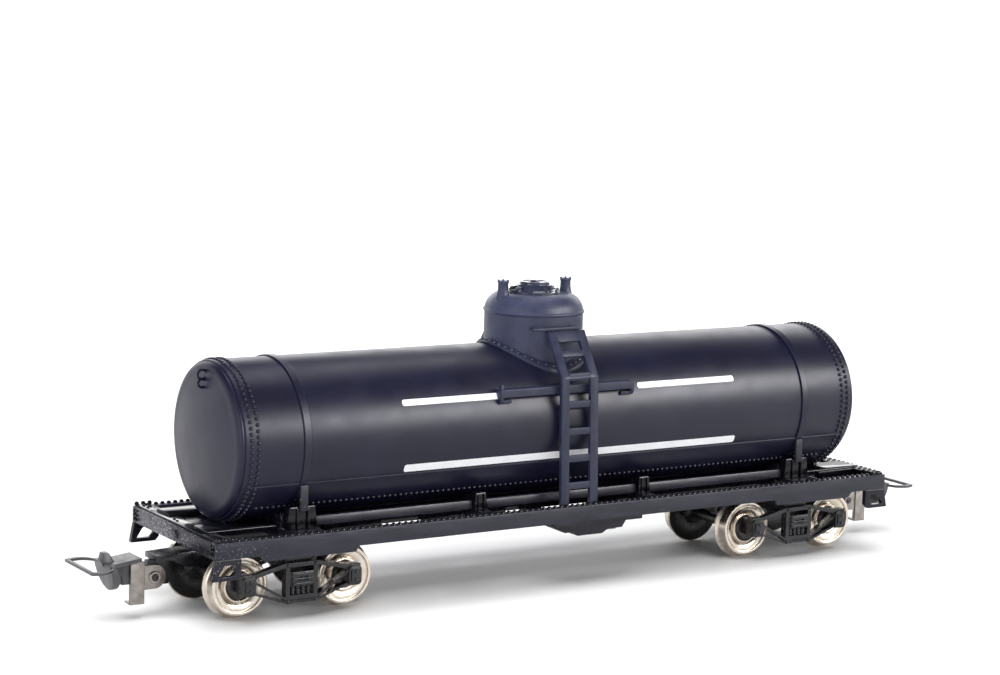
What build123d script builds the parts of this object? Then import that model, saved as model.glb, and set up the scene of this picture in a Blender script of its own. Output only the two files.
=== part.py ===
"""Model railway tank car with a single expansion dome, gauge 16.5 mm.

Frame: mm, +X along the car, +Z up, the ladder shown nearest stands on the -Y side,
z = 0 is the floor under the wheel flanges, x = y = 0 is the middle of the car.
"""
from build123d import *
import math
import os

# wheels and axles
tread_dia = 10.7
flange_high = 0.65
flange_wide = 0.8
flange_edge = 0.22
tread_drop = 0.12
wheel_back = 14.4
wheel_wide = 2.8
rim_tall = 0.7
groove_wide = 0.3
groove_deep = 0.35
dish_deep = 0.8
hub_ring_wide = 0.5
hub_dia = 4.8
hub_cone = 0.5
back_plate = 0.3
back_dia = 9.4
axle_dia = 2.2
pin_dia = 1.0
pin_long = 2.2
wheelbase = 20.5
bogie_in = 18.3

# tank
tank_dia = 27.9
tank_gap = 0.35
shell_half = 66.1
sheet_extra = 0.15
seam_drop = 10.0
lap_extra = 0.07
lap_drop = 6.2
head_step = 0.35
head_ring = 0.35
head_edge = 1.65
head_deep = 0.7
head_bulge = 1.0
band_wide = 1.5
band_high = 0.22
staple_in = 2.45
staple_tall = 2.6
staple_out = 0.7
staple_rod = 0.45

# dome on top of the tank
dome_dia = 18.4
dome_wall = 5.8
dome_cap = 3.25
dome_flat_dia = 12.4
bead_high = 0.28
bead_tall = 0.5
skirt_reach = 1.4
skirt_thick = 0.45

# hatch and valves
hatch_base_dia = 9.8
hatch_base = 0.35
hatch_low_dia = 7.7
hatch_high_dia = 6.5
hatch_tall = 1.15
hatch_lid_dia = 5.6
hatch_lid_top = 4.5
hatch_lid = 0.55
hatch_knob_dia = 1.6
hatch_knob = 0.25
hinge_wide = 1.9
hinge_arm = 0.5
hinge_tall = 0.9
latch_wide = 0.9
latch_tall = 0.7
valve_out = 0.7
valve_base_dia = 2.9
valve_skirt = 1.7
valve_flare = 0.9
valve_neck_dia = 1.9
valve_tall = 2.0
valve_cap_dia = 2.2
valve_cap = 0.4
valve_stub_dia = 0.9
valve_stub = 0.2

# underframe
sill_half = 73.0
sill_reach = 3.05
sill_thick = 1.7
sill_web = 0.8
sill_lip = 0.55
sill_tall = 2.9
sill_gap = 0.15
ride_high = 5.4
bolster_gap = 1.2
end_sill_thick = 1.6
spine_wide = 7.0
spine_tall = 2.55
spine_lip = 0.5
bolster_long = 6.4
gusset_long = 18.0
gusset_drop = 1.0
saddle_y = 10.2
saddle_long = 6.9
saddle_top = 5.4
saddle_tall = 2.55
saddle_rib = 0.5
saddle_rib_out = 0.45
saddle_rib_x = 1.1
strap_high = 0.5
strap_tall = 7.3
bearer_x = 18.0
bearer_long = 2.6
bearer_tall = 2.0
bracket_long = 3.4
bracket_top = 1.8
bracket_tall = 2.5
bracket_rib = 0.45
plank_in_y = 5.0
plank_out_y = 10.2
plank_thick = 1.9
plank_rise = 0.75
end_board_wide = 2.6
end_board_in = 0.4
end_board_thick = 0.35
striker_wide = 3.6
striker_tall = 1.5
striker_out = 0.45

# ladders, side platforms and dome handrails
ladder_x = 0.6
ladder_wide = 8.0
stile_wide = 1.7
ladder_thick = 0.8
ladder_gap = 0.45
ladder_foot = 0.7
ladder_bend = 9.15
ladder_rise = 3.1
rung_tall = 1.2
rung_thick = 0.55
rung_back = 0.15
rungs_low = 4
rungs_high = 2
top_plate = 2.3
shelf_rise = 7.55
shelf_thick = 0.6
shelf_low_x = -15.5
shelf_high_x = 13.6
shelf_in = 0.5
shelf_deep = 3.6
shelf_lip = 0.45
shelf_face = 1.4
shelf_post = 0.6
post_up = 1.0
post_down = 1.8
post_foot = 2.5
foot_long = 2.6
grab_drop = 2.3
grab_reach = 0.75
grab_low_x = -6.6
grab_high_x = 3.5
grab_leg_in = 1.2
grab_rod = 0.55

# steps and brake gear
step_out = 0.7
step_in = 4.8
step_cut = 0.7
step_drop = 3.6
step_bar = 0.7
step_leg = 1.1
step_top = 1.0
step_thick = 1.0
brake_x = 4.9
brake_long = 19.8
brake_deep = 5.0
brake_inset = 0.6
brake_thin = 0.8
brake_mid = 2.0
brake_low = 2.75
brake_tank_dia = 3.6
brake_tank_long = 9.4
brake_tank_x = 5.4

# bogies
side_in_y = 11.7
side_out_y = 13.2
box_wide = 2.5
box_tall = 3.4
box_rise = 0.7
box_gap = 0.35
box_out_y = 13.7
box_round = 0.7
lid_wide = 1.7
lid_tall = 2.2
lid_out = 0.3
arch_rise = 4.0
arch_drop = 2.5
arch_end = 2.65
arch_bar = 0.75
bar_gap = 0.4
lower_bar = 0.5
tie_bar = 0.45
tie_gap = 0.1
spring_wide = 6.2
column_wide = 0.8
coil_count = 4
coil_dia = 0.85
coil_step = 1.02
coil_tall = 2.3
seat_tall = 0.3
beam_end_wide = 4.0
beam_end_drop = 1.6
beam_end_tall = 2.4
beam_end_out = 0.35
beam_wide = 5.2
beam_tall = 3.0
tongue_wide = 4.6
tongue_thin = 1.5
tongue_lug = 1.4
tongue_lug_long = 4.0
tongue_lug_drop = 1.6
tongue_stop = 2.9
centre_plate_dia = 6.0
pivot_dia = 3.0
pivot_long = 4.6
play = 0.15
pin_play = 0.08

# couplers: a steel lever on a rivet, a moulded grey head
rivet_out = 22.3
rivet_rise = 1.1
rivet_dia = 1.1
rivet_head_dia = 2.0
rivet_head = 0.25
lever_thick = 0.6
lever_in = 1.95
lever_wide = 2.6
lever_low = 4.5
lever_high = 2.9
lever_lug = 2.1
lever_fold = 0.4
lever_fold_deep = 1.75
head_plate_in = 2.9
head_plate_out = 8.2
head_plate_half = 2.6
head_plate_tall = 0.7
head_plate_rise = 3.1
head_plate_fall = 0.6
shank_half = 1.2
shank_tall = 2.6
shank_in = 4.55
shank_block = 1.4
shank_block_tall = 1.4
shield_half = 3.5
shield_thick = 1.0
shield_tall = 4.9
shield_lean = 1.2
fin_half = 0.8
fin_high = 1.7
fin_long = 2.5
bow_bar = 0.7
bow_thick = 0.5
bow_out = 13.5
bow_half = 5.8
bow_root = 3.3
bow_bulge = 0.4

# places that follow from the sizes above
tread_r = tread_dia / 2
flange_r = tread_r + flange_high
axle_z = flange_r
bogie_x = sill_half - bogie_in
axle_x = wheelbase / 2
wheel_in_y = wheel_back / 2
wheel_out_y = wheel_in_y + wheel_wide
pin_tip_y = wheel_out_y + pin_long
bogie_top_z = axle_z + ride_high
bolster_low_z = bogie_top_z + bolster_gap
sill_low_z = bolster_low_z + sill_gap
sill_top_z = sill_low_z + sill_tall
gusset_low_z = sill_low_z - gusset_drop
spine_low_z = sill_top_z - spine_tall
tank_r = tank_dia / 2
sheet_r = tank_r + sheet_extra
lap_r = tank_r + lap_extra
tank_z = sill_top_z + tank_gap + tank_r
seam_z = tank_z - seam_drop
lap_z = tank_z - lap_drop
band_x = bogie_x - 0.5 * sill_web
sill_face_y = tank_r + sill_reach
sill_in_y = sill_face_y - sill_thick
saddle_top_z = sill_top_z + saddle_tall
strap_top_z = sill_top_z + strap_tall
plank_top_z = sill_top_z + plank_rise
dome_r = dome_dia / 2
dome_shoulder_z = tank_z + tank_r + dome_wall
dome_top_z = dome_shoulder_z + dome_cap
stub_in_x = bogie_x + bolster_long / 2
end_in_x = sill_half - end_sill_thick
rivet_x = bogie_x + rivet_out
rivet_z = axle_z + rivet_rise
tongue_low_z = bogie_top_z - beam_tall
lever_y = tongue_lug / 2 + play

os.makedirs("parts", exist_ok=True)


def save(piece, label):
    piece.label = label
    export_step(piece, f"parts/{label}.step")


# Tank barrel: one turned body with two hold-down bands, and two lower sheets that lap over it.
with BuildPart() as barrel:
    with BuildSketch(Plane.YZ):
        with Locations((0, tank_z)):
            Circle(tank_r)
    extrude(amount=shell_half, both=True)
    for lapped_r, edge_z in ((lap_r, lap_z), (sheet_r, seam_z)):
        with BuildSketch(Plane.YZ):
            with Locations((0, tank_z)):
                Circle(lapped_r)
            with Locations((0, edge_z + tank_dia)):
                Rectangle(2 * tank_dia, 2 * tank_dia, mode=Mode.SUBTRACT)
        extrude(amount=shell_half - 2 * head_ring, both=True)
    for x in (-band_x, band_x):
        with BuildSketch(Plane.YZ.offset(x - band_wide / 2)):
            with Locations((0, tank_z)):
                Circle(tank_r + band_high)
        extrude(amount=band_wide)
save(barrel.part, "tank_barrel")

# Tank heads: a set-back ring, a rounded knuckle, a shallow dish and a small staple.
for side_name, side in (("left", -1), ("right", 1)):
    ring_r = tank_r - head_step
    ring_x = shell_half + head_ring
    dish_r = ring_r - head_edge
    dish_x = ring_x + head_deep
    dish_mid_x = dish_x + head_bulge
    with BuildPart() as head:
        with BuildSketch(Plane.XZ):
            with BuildLine():
                ThreePointArc(
                    (side * dish_x, tank_z + dish_r),
                    (side * (ring_x + head_deep * 0.68), tank_z + ring_r - head_edge * 0.34),
                    (side * ring_x, tank_z + ring_r),
                )
                Polyline(
                    (side * ring_x, tank_z + ring_r),
                    (side * shell_half, tank_z + ring_r),
                    (side * shell_half, tank_z),
                    (side * dish_mid_x, tank_z),
                )
                ThreePointArc(
                    (side * dish_mid_x, tank_z),
                    (side * (dish_x + head_bulge * 0.75), tank_z + dish_r / 2),
                    (side * dish_x, tank_z + dish_r),
                )
            make_face()
        revolve(axis=Axis((0, 0, tank_z), (1, 0, 0)), revolution_arc=360)
        staple_mid_x = side * (dish_mid_x + staple_out / 2 - head_bulge / 2)
        staple_low = dish_r - staple_in
        with Locations((side * (dish_mid_x + staple_out), 0, tank_z + staple_low + staple_tall / 2)):
            Box(staple_rod, staple_rod, staple_tall)
        for z in (staple_low, staple_low + staple_tall - staple_rod):
            with Locations((staple_mid_x, 0, tank_z + z + staple_rod / 2)):
                Box(staple_out + head_bulge, staple_rod, staple_rod)
    save(head.part, f"tank_head_{side_name}")

# Expansion dome: cut to the barrel below, a bead at the shoulder, a rounded top.
with BuildPart() as dome:
    with BuildSketch(Plane.XZ):
        with BuildLine():
            Polyline(
                (dome_flat_dia / 2, dome_top_z),
                (0, dome_top_z),
                (0, tank_z),
                (dome_r, tank_z),
                (dome_r, dome_shoulder_z - bead_tall / 2),
                (dome_r + bead_high, dome_shoulder_z - bead_tall / 4),
                (dome_r + bead_high, dome_shoulder_z + bead_tall / 4),
                (dome_r, dome_shoulder_z + bead_tall / 2),
            )
            ThreePointArc(
                (dome_r, dome_shoulder_z + bead_tall / 2),
                (
                    dome_flat_dia / 2 + (dome_r - dome_flat_dia / 2) * 0.77,
                    dome_top_z - dome_cap * 0.45,
                ),
                (dome_flat_dia / 2, dome_top_z),
            )
        make_face()
    revolve(axis=Axis.Z, revolution_arc=360)
    with BuildSketch(Plane.YZ.offset(-dome_dia)):
        with Locations((0, tank_z)):
            Circle(tank_r)
    extrude(amount=2 * dome_dia, mode=Mode.SUBTRACT)
save(dome.part, "expansion_dome")

# Dome flange: the riveted skirt that lies on the barrel around the dome.
with BuildPart() as skirt:
    with BuildSketch(Plane.YZ.offset(-dome_r - skirt_reach)):
        with Locations((0, tank_z)):
            Circle(tank_r + skirt_thick)
            Circle(tank_r, mode=Mode.SUBTRACT)
    extrude(amount=2 * (dome_r + skirt_reach))
    with BuildSketch(Plane.XY.offset(tank_z)):
        Circle(dome_r + skirt_reach)
        Circle(dome_r, mode=Mode.SUBTRACT)
    extrude(amount=tank_dia, mode=Mode.INTERSECT)
save(skirt.part, "dome_flange")

# Manhole cover: base ring, tapered neck, a small lid with a knob.
with BuildPart() as hatch:
    with BuildSketch(Plane.XZ):
        with BuildLine():
            Polyline(
                (0, dome_top_z),
                (hatch_base_dia / 2, dome_top_z),
                (hatch_base_dia / 2, dome_top_z + hatch_base),
                (hatch_low_dia / 2, dome_top_z + hatch_base),
                (hatch_high_dia / 2, dome_top_z + hatch_base + hatch_tall),
                (hatch_lid_dia / 2, dome_top_z + hatch_base + hatch_tall),
                (hatch_lid_top / 2, dome_top_z + hatch_base + hatch_tall + hatch_lid),
                (hatch_knob_dia / 2, dome_top_z + hatch_base + hatch_tall + hatch_lid),
                (hatch_knob_dia / 2, dome_top_z + hatch_base + hatch_tall + hatch_lid + hatch_knob),
                (0, dome_top_z + hatch_base + hatch_tall + hatch_lid + hatch_knob),
                close=True,
            )
        make_face()
    revolve(axis=Axis.Z, revolution_arc=360)
save(hatch.part, "manhole_cover")

# Hinge of the manhole cover: two arms over the neck on the left, a latch on the right.
hatch_in_x = hatch_low_dia / 2 - (hatch_low_dia - hatch_high_dia) / 4
with BuildPart() as hinge:
    for y in (-hinge_wide / 2, hinge_wide / 2):
        with BuildSketch(Plane.XZ.offset(y - hinge_arm / 2)):
            with BuildLine():
                Polyline(
                    (-hatch_base_dia / 2, dome_top_z + hatch_base),
                    (-hatch_base_dia / 2, dome_top_z + hatch_base + hinge_tall / 2),
                    (-hatch_base_dia / 2 + hinge_arm, dome_top_z + hatch_base + hinge_tall),
                    (-hatch_in_x + hinge_arm / 2, dome_top_z + hatch_base + hinge_tall),
                    (-hatch_in_x + hinge_arm / 2, dome_top_z + hatch_base),
                    close=True,
                )
            make_face()
        extrude(amount=hinge_arm)
    with BuildSketch(Plane.XY.offset(dome_top_z + hatch_base)):
        with Locations((-hatch_base_dia / 2 + hinge_arm / 2, 0)):
            Rectangle(hinge_arm, hinge_wide)
        with Locations((hatch_in_x + latch_wide / 4, 0)):
            Rectangle(1.5 * latch_wide, latch_wide)
    extrude(amount=latch_tall / 2)
    with BuildSketch(Plane.XY.offset(dome_top_z + hatch_base)):
        with Locations((hatch_in_x + latch_wide / 2, 0)):
            Circle(latch_wide / 3)
    extrude(amount=latch_tall)
    with BuildSketch(Plane.XZ):
        with BuildLine():
            Polyline(
                (0, dome_top_z + hatch_base),
                (hatch_low_dia / 2, dome_top_z + hatch_base),
                (hatch_high_dia / 2, dome_top_z + hatch_base + hatch_tall),
                (0, dome_top_z + hatch_base + hatch_tall),
                close=True,
            )
        make_face()
    revolve(axis=Axis.Z, revolution_arc=360, mode=Mode.SUBTRACT)
save(hinge.part, "manhole_hinge")

# Safety valves: a flared foot over the shoulder of the dome, a neck and a cap.
for side_name, side in (("left", -1), ("right", 1)):
    valve_x = dome_flat_dia / 2 + valve_out
    valve_z = dome_top_z - valve_skirt
    with BuildPart() as valve:
        with BuildSketch(Plane.XZ):
            with BuildLine():
                Polyline(
                    (0, valve_z),
                    (valve_base_dia / 2, valve_z),
                    (valve_base_dia / 2, dome_top_z - valve_flare),
                    (valve_neck_dia / 2, dome_top_z + valve_flare),
                    (valve_neck_dia / 2, dome_top_z + valve_tall),
                    (valve_cap_dia / 2, dome_top_z + valve_tall),
                    (valve_cap_dia / 2, dome_top_z + valve_tall + valve_cap),
                    (valve_stub_dia / 2, dome_top_z + valve_tall + valve_cap),
                    (valve_stub_dia / 2, dome_top_z + valve_tall + valve_cap + valve_stub),
                    (0, dome_top_z + valve_tall + valve_cap + valve_stub),
                    close=True,
                )
            make_face()
        revolve(axis=Axis.Z, revolution_arc=360)
    valve_body = (Pos(side * valve_x, 0, 0) * valve.part) - dome.part - hatch.part
    valve_body = valve_body.solids().sort_by(Axis.Z)[-1]
    save(Part() + valve_body, f"safety_valve_{side_name}")

# Spine: the centre sill under the tank, a channel open below.
with BuildPart() as spine:
    with BuildSketch(Plane.YZ.offset(-bogie_x + bolster_long / 2)):
        with Locations((0, (spine_low_z + sill_top_z) / 2)):
            Rectangle(spine_wide, spine_tall)
        with Locations((0, (spine_low_z + sill_top_z) / 2 - spine_lip)):
            Rectangle(spine_wide - 4 * spine_lip, spine_tall, mode=Mode.SUBTRACT)
    extrude(amount=2 * bogie_x - bolster_long)
save(spine.part, "centre_sill")

# Spine ends: the stub of the centre sill between each bolster and its end sill.
for side_name, side in (("left", -1), ("right", 1)):
    with BuildPart() as stub:
        with BuildSketch(Plane.XY.offset(spine_low_z)):
            with Locations((side * (stub_in_x + end_in_x) / 2, 0)):
                Rectangle(end_in_x - stub_in_x, spine_wide)
        extrude(amount=spine_tall)
    save(stub.part, f"centre_sill_end_{side_name}")

# Side sills: a channel along each side, its web deeper over the bogies.
for side_name, side in (("near", -1), ("far", 1)):
    with BuildPart() as sill:
        with BuildSketch(Plane.XZ.offset(-side * sill_face_y)):
            with BuildLine():
                Polyline(
                    (-sill_half, sill_top_z),
                    (-sill_half, sill_low_z),
                    (-bogie_x - gusset_long / 2 - gusset_drop, sill_low_z),
                    (-bogie_x - gusset_long / 2, gusset_low_z),
                    (-bogie_x + gusset_long / 2 - gusset_drop / 2, gusset_low_z),
                    (-bogie_x + gusset_long / 2, sill_low_z),
                    (bogie_x - gusset_long / 2, sill_low_z),
                    (bogie_x - gusset_long / 2 + gusset_drop / 2, gusset_low_z),
                    (bogie_x + gusset_long / 2, gusset_low_z),
                    (bogie_x + gusset_long / 2 + gusset_drop, sill_low_z),
                    (sill_half, sill_low_z),
                    (sill_half, sill_top_z),
                    close=True,
                )
            make_face()
        extrude(amount=side * sill_web)
        with BuildSketch(Plane.YZ.offset(-sill_half)):
            for z in (sill_low_z + sill_lip / 2, sill_top_z - sill_lip / 2):
                with Locations((side * (sill_face_y - sill_thick / 2), z)):
                    Rectangle(sill_thick, sill_lip)
        extrude(amount=2 * sill_half)
    save(sill.part, f"side_sill_{side_name}")

# End sills: the cross beam at each end, with a striker block on its face.
for side_name, side in (("left", -1), ("right", 1)):
    with BuildPart() as end_sill:
        with BuildSketch(Plane.XY.offset(sill_low_z)):
            with Locations((side * (sill_half - end_sill_thick / 2), 0)):
                Rectangle(end_sill_thick, 2 * sill_in_y)
        extrude(amount=sill_tall)
        with BuildSketch(Plane.XY.offset(sill_low_z + sill_lip)):
            with Locations((side * (sill_half + striker_out / 2), 0)):
                Rectangle(striker_out, striker_wide)
        extrude(amount=striker_tall)
    save(end_sill.part, f"end_sill_{side_name}")

# Bolsters: the cross beam over each bogie, the ribbed tank saddle, strap ends, pivot pin.
for side_name, side in (("left", -1), ("right", 1)):
    with BuildPart() as bolster:
        with BuildSketch(Plane.YZ.offset(side * band_x - band_wide / 2)):
            with Locations((0, tank_z)):
                Circle(tank_r + band_high + strap_high)
            with Locations((0, strap_top_z + tank_dia)):
                Rectangle(2 * tank_dia, 2 * tank_dia, mode=Mode.SUBTRACT)
        extrude(amount=band_wide)
        with BuildSketch(Plane.XZ.offset(-saddle_y)):
            with BuildLine():
                Polyline(
                    (side * band_x - saddle_long / 2, sill_top_z),
                    (side * band_x - saddle_top / 2, saddle_top_z),
                    (side * band_x + saddle_top / 2, saddle_top_z),
                    (side * band_x + saddle_long / 2, sill_top_z),
                    close=True,
                )
            make_face()
        extrude(amount=2 * saddle_y)
        with BuildSketch(Plane.XZ.offset(-saddle_y - saddle_rib_out)):
            for edge in (-1, 1):
                with Locations((side * band_x + edge * saddle_rib_x, sill_top_z + saddle_tall / 2)):
                    Rectangle(saddle_rib, saddle_tall)
        extrude(amount=2 * (saddle_y + saddle_rib_out))
        with BuildSketch(Plane.YZ.offset(side * band_x - saddle_long)):
            with Locations((0, tank_z)):
                Circle(sheet_r)
        extrude(amount=2 * saddle_long, mode=Mode.SUBTRACT)
        with BuildSketch(Plane.YZ.offset(side * band_x - band_wide / 2)):
            with Locations((0, tank_z)):
                Circle(tank_r + band_high)
        extrude(amount=band_wide, mode=Mode.SUBTRACT)
        with BuildSketch(Plane.XY.offset(bolster_low_z)):
            with Locations((side * bogie_x, 0)):
                Rectangle(bolster_long, 2 * sill_in_y)
        extrude(amount=sill_top_z - bolster_low_z)
        with BuildSketch(Plane.XY.offset(bolster_low_z - pivot_long)):
            with Locations((side * bogie_x, 0)):
                Circle(pivot_dia / 2)
        extrude(amount=pivot_long)
    save(bolster.part, f"bolster_{side_name}")

# Cross bearers: a light cross beam on each side of the spine, with a tapered bracket
# up to the tank.
for side_name, side in (("left", -1), ("right", 1)):
    with BuildPart() as bearer:
        for face in (-1, 1):
            with BuildSketch(Plane.XZ.offset(-face * plank_out_y)):
                with BuildLine():
                    Polyline(
                        (side * bearer_x - bracket_long / 2, sill_top_z - bearer_tall),
                        (side * bearer_x - bracket_long / 2, sill_top_z),
                        (side * bearer_x - bracket_top / 2, sill_top_z + bracket_tall),
                        (side * bearer_x + bracket_top / 2, sill_top_z + bracket_tall),
                        (side * bearer_x + bracket_long / 2, sill_top_z),
                        (side * bearer_x + bracket_long / 2, sill_top_z - bearer_tall),
                        close=True,
                    )
                make_face()
            extrude(amount=face * (plank_out_y - plank_in_y))
            with BuildSketch(Plane.XZ.offset(-face * (plank_out_y + bracket_rib))):
                for edge in (-1, 1):
                    with Locations(
                        (side * bearer_x + edge * bracket_top / 3, sill_top_z + bracket_tall / 2 - bracket_rib)
                    ):
                        Rectangle(bracket_rib, bracket_tall)
            extrude(amount=face * 2 * bracket_rib)
        with BuildSketch(Plane.YZ.offset(side * bearer_x - bracket_long)):
            with Locations((0, tank_z)):
                Circle(sheet_r)
        extrude(amount=2 * bracket_long, mode=Mode.SUBTRACT)
        with BuildSketch(Plane.XY.offset(sill_top_z - bearer_tall)):
            for face in (-1, 1):
                with Locations((side * bearer_x, face * (sill_in_y + spine_wide / 2) / 2)):
                    Rectangle(bearer_long, sill_in_y - spine_wide / 2)
        extrude(amount=bearer_tall)
    save(bearer.part, f"cross_bearer_{side_name}")

# Cradle planks: a plank along each side of the tank, in lengths between the saddles.
plank_stops = (
    (-end_in_x, -band_x - saddle_long / 2),
    (-band_x + saddle_long / 2, -bearer_x - bracket_long / 2),
    (-bearer_x + bracket_long / 2, bearer_x - bracket_long / 2),
    (bearer_x + bracket_long / 2, band_x - saddle_long / 2),
    (band_x + saddle_long / 2, end_in_x),
)
for face_name, face in (("near", -1), ("far", 1)):
    with BuildPart() as planks:
        for start, stop in plank_stops:
            with BuildSketch(Plane.YZ.offset(start)):
                with BuildLine():
                    Polyline(
                        (face * plank_in_y, plank_top_z),
                        (face * plank_in_y, plank_top_z - plank_thick / 2),
                        (face * (plank_out_y - spine_lip), plank_top_z - plank_thick),
                        (face * plank_out_y, plank_top_z - plank_thick),
                        (face * plank_out_y, plank_top_z - spine_lip / 2),
                        (face * (plank_out_y - spine_lip / 2), plank_top_z),
                        close=True,
                    )
                make_face()
            extrude(amount=stop - start)
        with BuildSketch(Plane.XY.offset(bolster_low_z)):
            with Locations((-bogie_x, 0), (bogie_x, 0)):
                Rectangle(bolster_long, 2 * sill_in_y)
        extrude(amount=sill_top_z - bolster_low_z, mode=Mode.SUBTRACT)
    save(planks.part, f"cradle_board_{face_name}")

# End boards: the flat plate on each end sill, set in a little from its face.
for side_name, side in (("left", -1), ("right", 1)):
    with BuildPart() as board:
        with BuildSketch(Plane.XY.offset(sill_top_z)):
            with Locations((side * (sill_half - end_board_in - end_board_wide / 2), 0)):
                Rectangle(end_board_wide, 2 * (sill_face_y - end_board_in))
            with Locations((side * (end_in_x - end_board_wide / 2), 0)):
                Rectangle(end_board_wide, 2 * plank_out_y, mode=Mode.SUBTRACT)
        extrude(amount=end_board_thick)
    save(board.part, f"end_board_{side_name}")

# Steps: a hanging stirrup below each corner of the frame, its lower inner corner cut off.
for side_name, side in (("left", -1), ("right", 1)):
    for face_name, face in (("near", -1), ("far", 1)):
        step_low_z = sill_low_z - step_drop
        step_in_x = sill_half - step_in
        with BuildPart() as step:
            with BuildSketch(Plane.XZ.offset(-face * sill_face_y)):
                with BuildLine():
                    Polyline(
                        (side * sill_half, sill_low_z),
                        (side * (sill_half + step_out), step_low_z),
                        (side * (step_in_x + step_cut), step_low_z),
                        (side * step_in_x, step_low_z + step_cut),
                        (side * step_in_x, sill_low_z),
                        close=True,
                    )
                make_face()
                with BuildLine():
                    Polyline(
                        (side * (sill_half - 1.5 * step_leg), sill_low_z - step_top),
                        (side * (sill_half + step_out - step_leg), step_low_z + step_bar),
                        (side * (step_in_x + 1.6 * step_leg), step_low_z + step_bar),
                        (side * (step_in_x + step_leg), step_low_z + 2 * step_bar),
                        (side * (step_in_x + step_leg), sill_low_z - step_top),
                        close=True,
                    )
                make_face(mode=Mode.SUBTRACT)
            extrude(amount=face * step_thick)
        save(step.part, f"step_{side_name}_{face_name}")

# Brake gear: a casting with a flange plate and the brake cylinder, below the near sill.
brake_low_x = brake_x - brake_long / 2
with BuildPart() as brake:
    with BuildSketch(Plane.XZ.offset(sill_face_y - brake_inset)):
        with BuildLine():
            Polyline(
                (brake_low_x, sill_low_z),
                (brake_low_x, sill_low_z - brake_thin),
                (brake_low_x + brake_long * 0.13, sill_low_z - brake_mid),
                (brake_low_x + brake_long * 0.23, sill_low_z - brake_mid),
                (brake_low_x + brake_long * 0.27, sill_low_z - brake_low),
                (brake_low_x + brake_long * 0.55, sill_low_z - brake_low),
                (brake_low_x + brake_long * 0.61, sill_low_z - brake_mid),
                (brake_low_x + brake_long * 0.77, sill_low_z - brake_mid),
                (brake_low_x + brake_long * 0.81, sill_low_z - brake_thin),
                (brake_low_x + brake_long, sill_low_z - brake_thin),
                (brake_low_x + brake_long, sill_low_z),
                close=True,
            )
        make_face()
    extrude(amount=-brake_deep)
    with BuildSketch(Plane.YZ.offset(brake_tank_x - brake_tank_long / 2)):
        with Locations((-sill_face_y + brake_inset + brake_deep / 2, sill_low_z - brake_low + brake_tank_dia / 2)):
            Circle(brake_tank_dia / 2)
    extrude(amount=brake_tank_long)
    with BuildSketch(Plane.XY.offset(sill_low_z)):
        with Locations((brake_x, -sill_face_y + brake_deep)):
            Rectangle(2 * brake_long, 4 * brake_deep)
    extrude(amount=brake_tank_dia, mode=Mode.SUBTRACT)
save(brake.part, "brake_gear")

# Ladders: two flat stiles bent towards the dome, rungs and a plate at the top.
bend_z = tank_z + ladder_bend
top_z = tank_z + tank_r + ladder_rise
bend_y = tank_r + ladder_gap + ladder_thick
foot_y = sill_face_y - ladder_foot
top_y = dome_r + ladder_gap / 3 + ladder_thick
for face_name, face in (("near", -1), ("far", 1)):
    with BuildPart() as ladder:
        for edge in (-1, 1):
            stile_x = ladder_x + edge * (ladder_wide - stile_wide) / 2
            with BuildSketch(Plane.YZ.offset(stile_x - stile_wide / 2)):
                with BuildLine():
                    Polyline(
                        (face * foot_y, sill_top_z),
                        (face * bend_y, bend_z),
                        (face * top_y, top_z),
                        (face * (top_y - ladder_thick), top_z),
                        (face * (bend_y - ladder_thick), bend_z - ladder_gap),
                        (face * (foot_y - ladder_thick), sill_top_z),
                        close=True,
                    )
                make_face()
            extrude(amount=stile_wide)
        low_step = (bend_z - sill_top_z) / (rungs_low + 0.72)
        for k in range(rungs_low + 1):
            rung_z = sill_top_z + low_step * (k + 0.8) - rung_tall / 4
            rung_y = foot_y + (bend_y - foot_y) * (rung_z - sill_top_z) / (bend_z - sill_top_z)
            with Locations((ladder_x, face * (rung_y - rung_back - rung_thick / 2), rung_z)):
                Box(ladder_wide - 2 * stile_wide, rung_thick, rung_tall)
        lean = math.degrees(math.atan2(bend_y - top_y, top_z - bend_z))
        lean_long = math.hypot(bend_y - top_y, top_z - bend_z)
        for part_of, tall in ((0.0, rung_tall), (0.5, rung_tall), (1.0, top_plate)):
            along = lean_long * part_of - (tall / 2 if part_of == 1.0 else 0) + (0 if part_of else rung_tall / 6)
            rung_y = bend_y - math.sin(math.radians(lean)) * along - rung_back - rung_thick / 2
            rung_z = bend_z + math.cos(math.radians(lean)) * along
            with Locations(Location((ladder_x, face * rung_y, rung_z), (face * lean, 0, 0))):
                Box(ladder_wide - 2 * stile_wide, rung_thick, tall)
        with BuildSketch(Plane.XY.offset(bend_z)):
            Circle(dome_r)
        extrude(amount=tank_r, mode=Mode.SUBTRACT)
    save(ladder.part, f"ladder_{face_name}")

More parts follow.
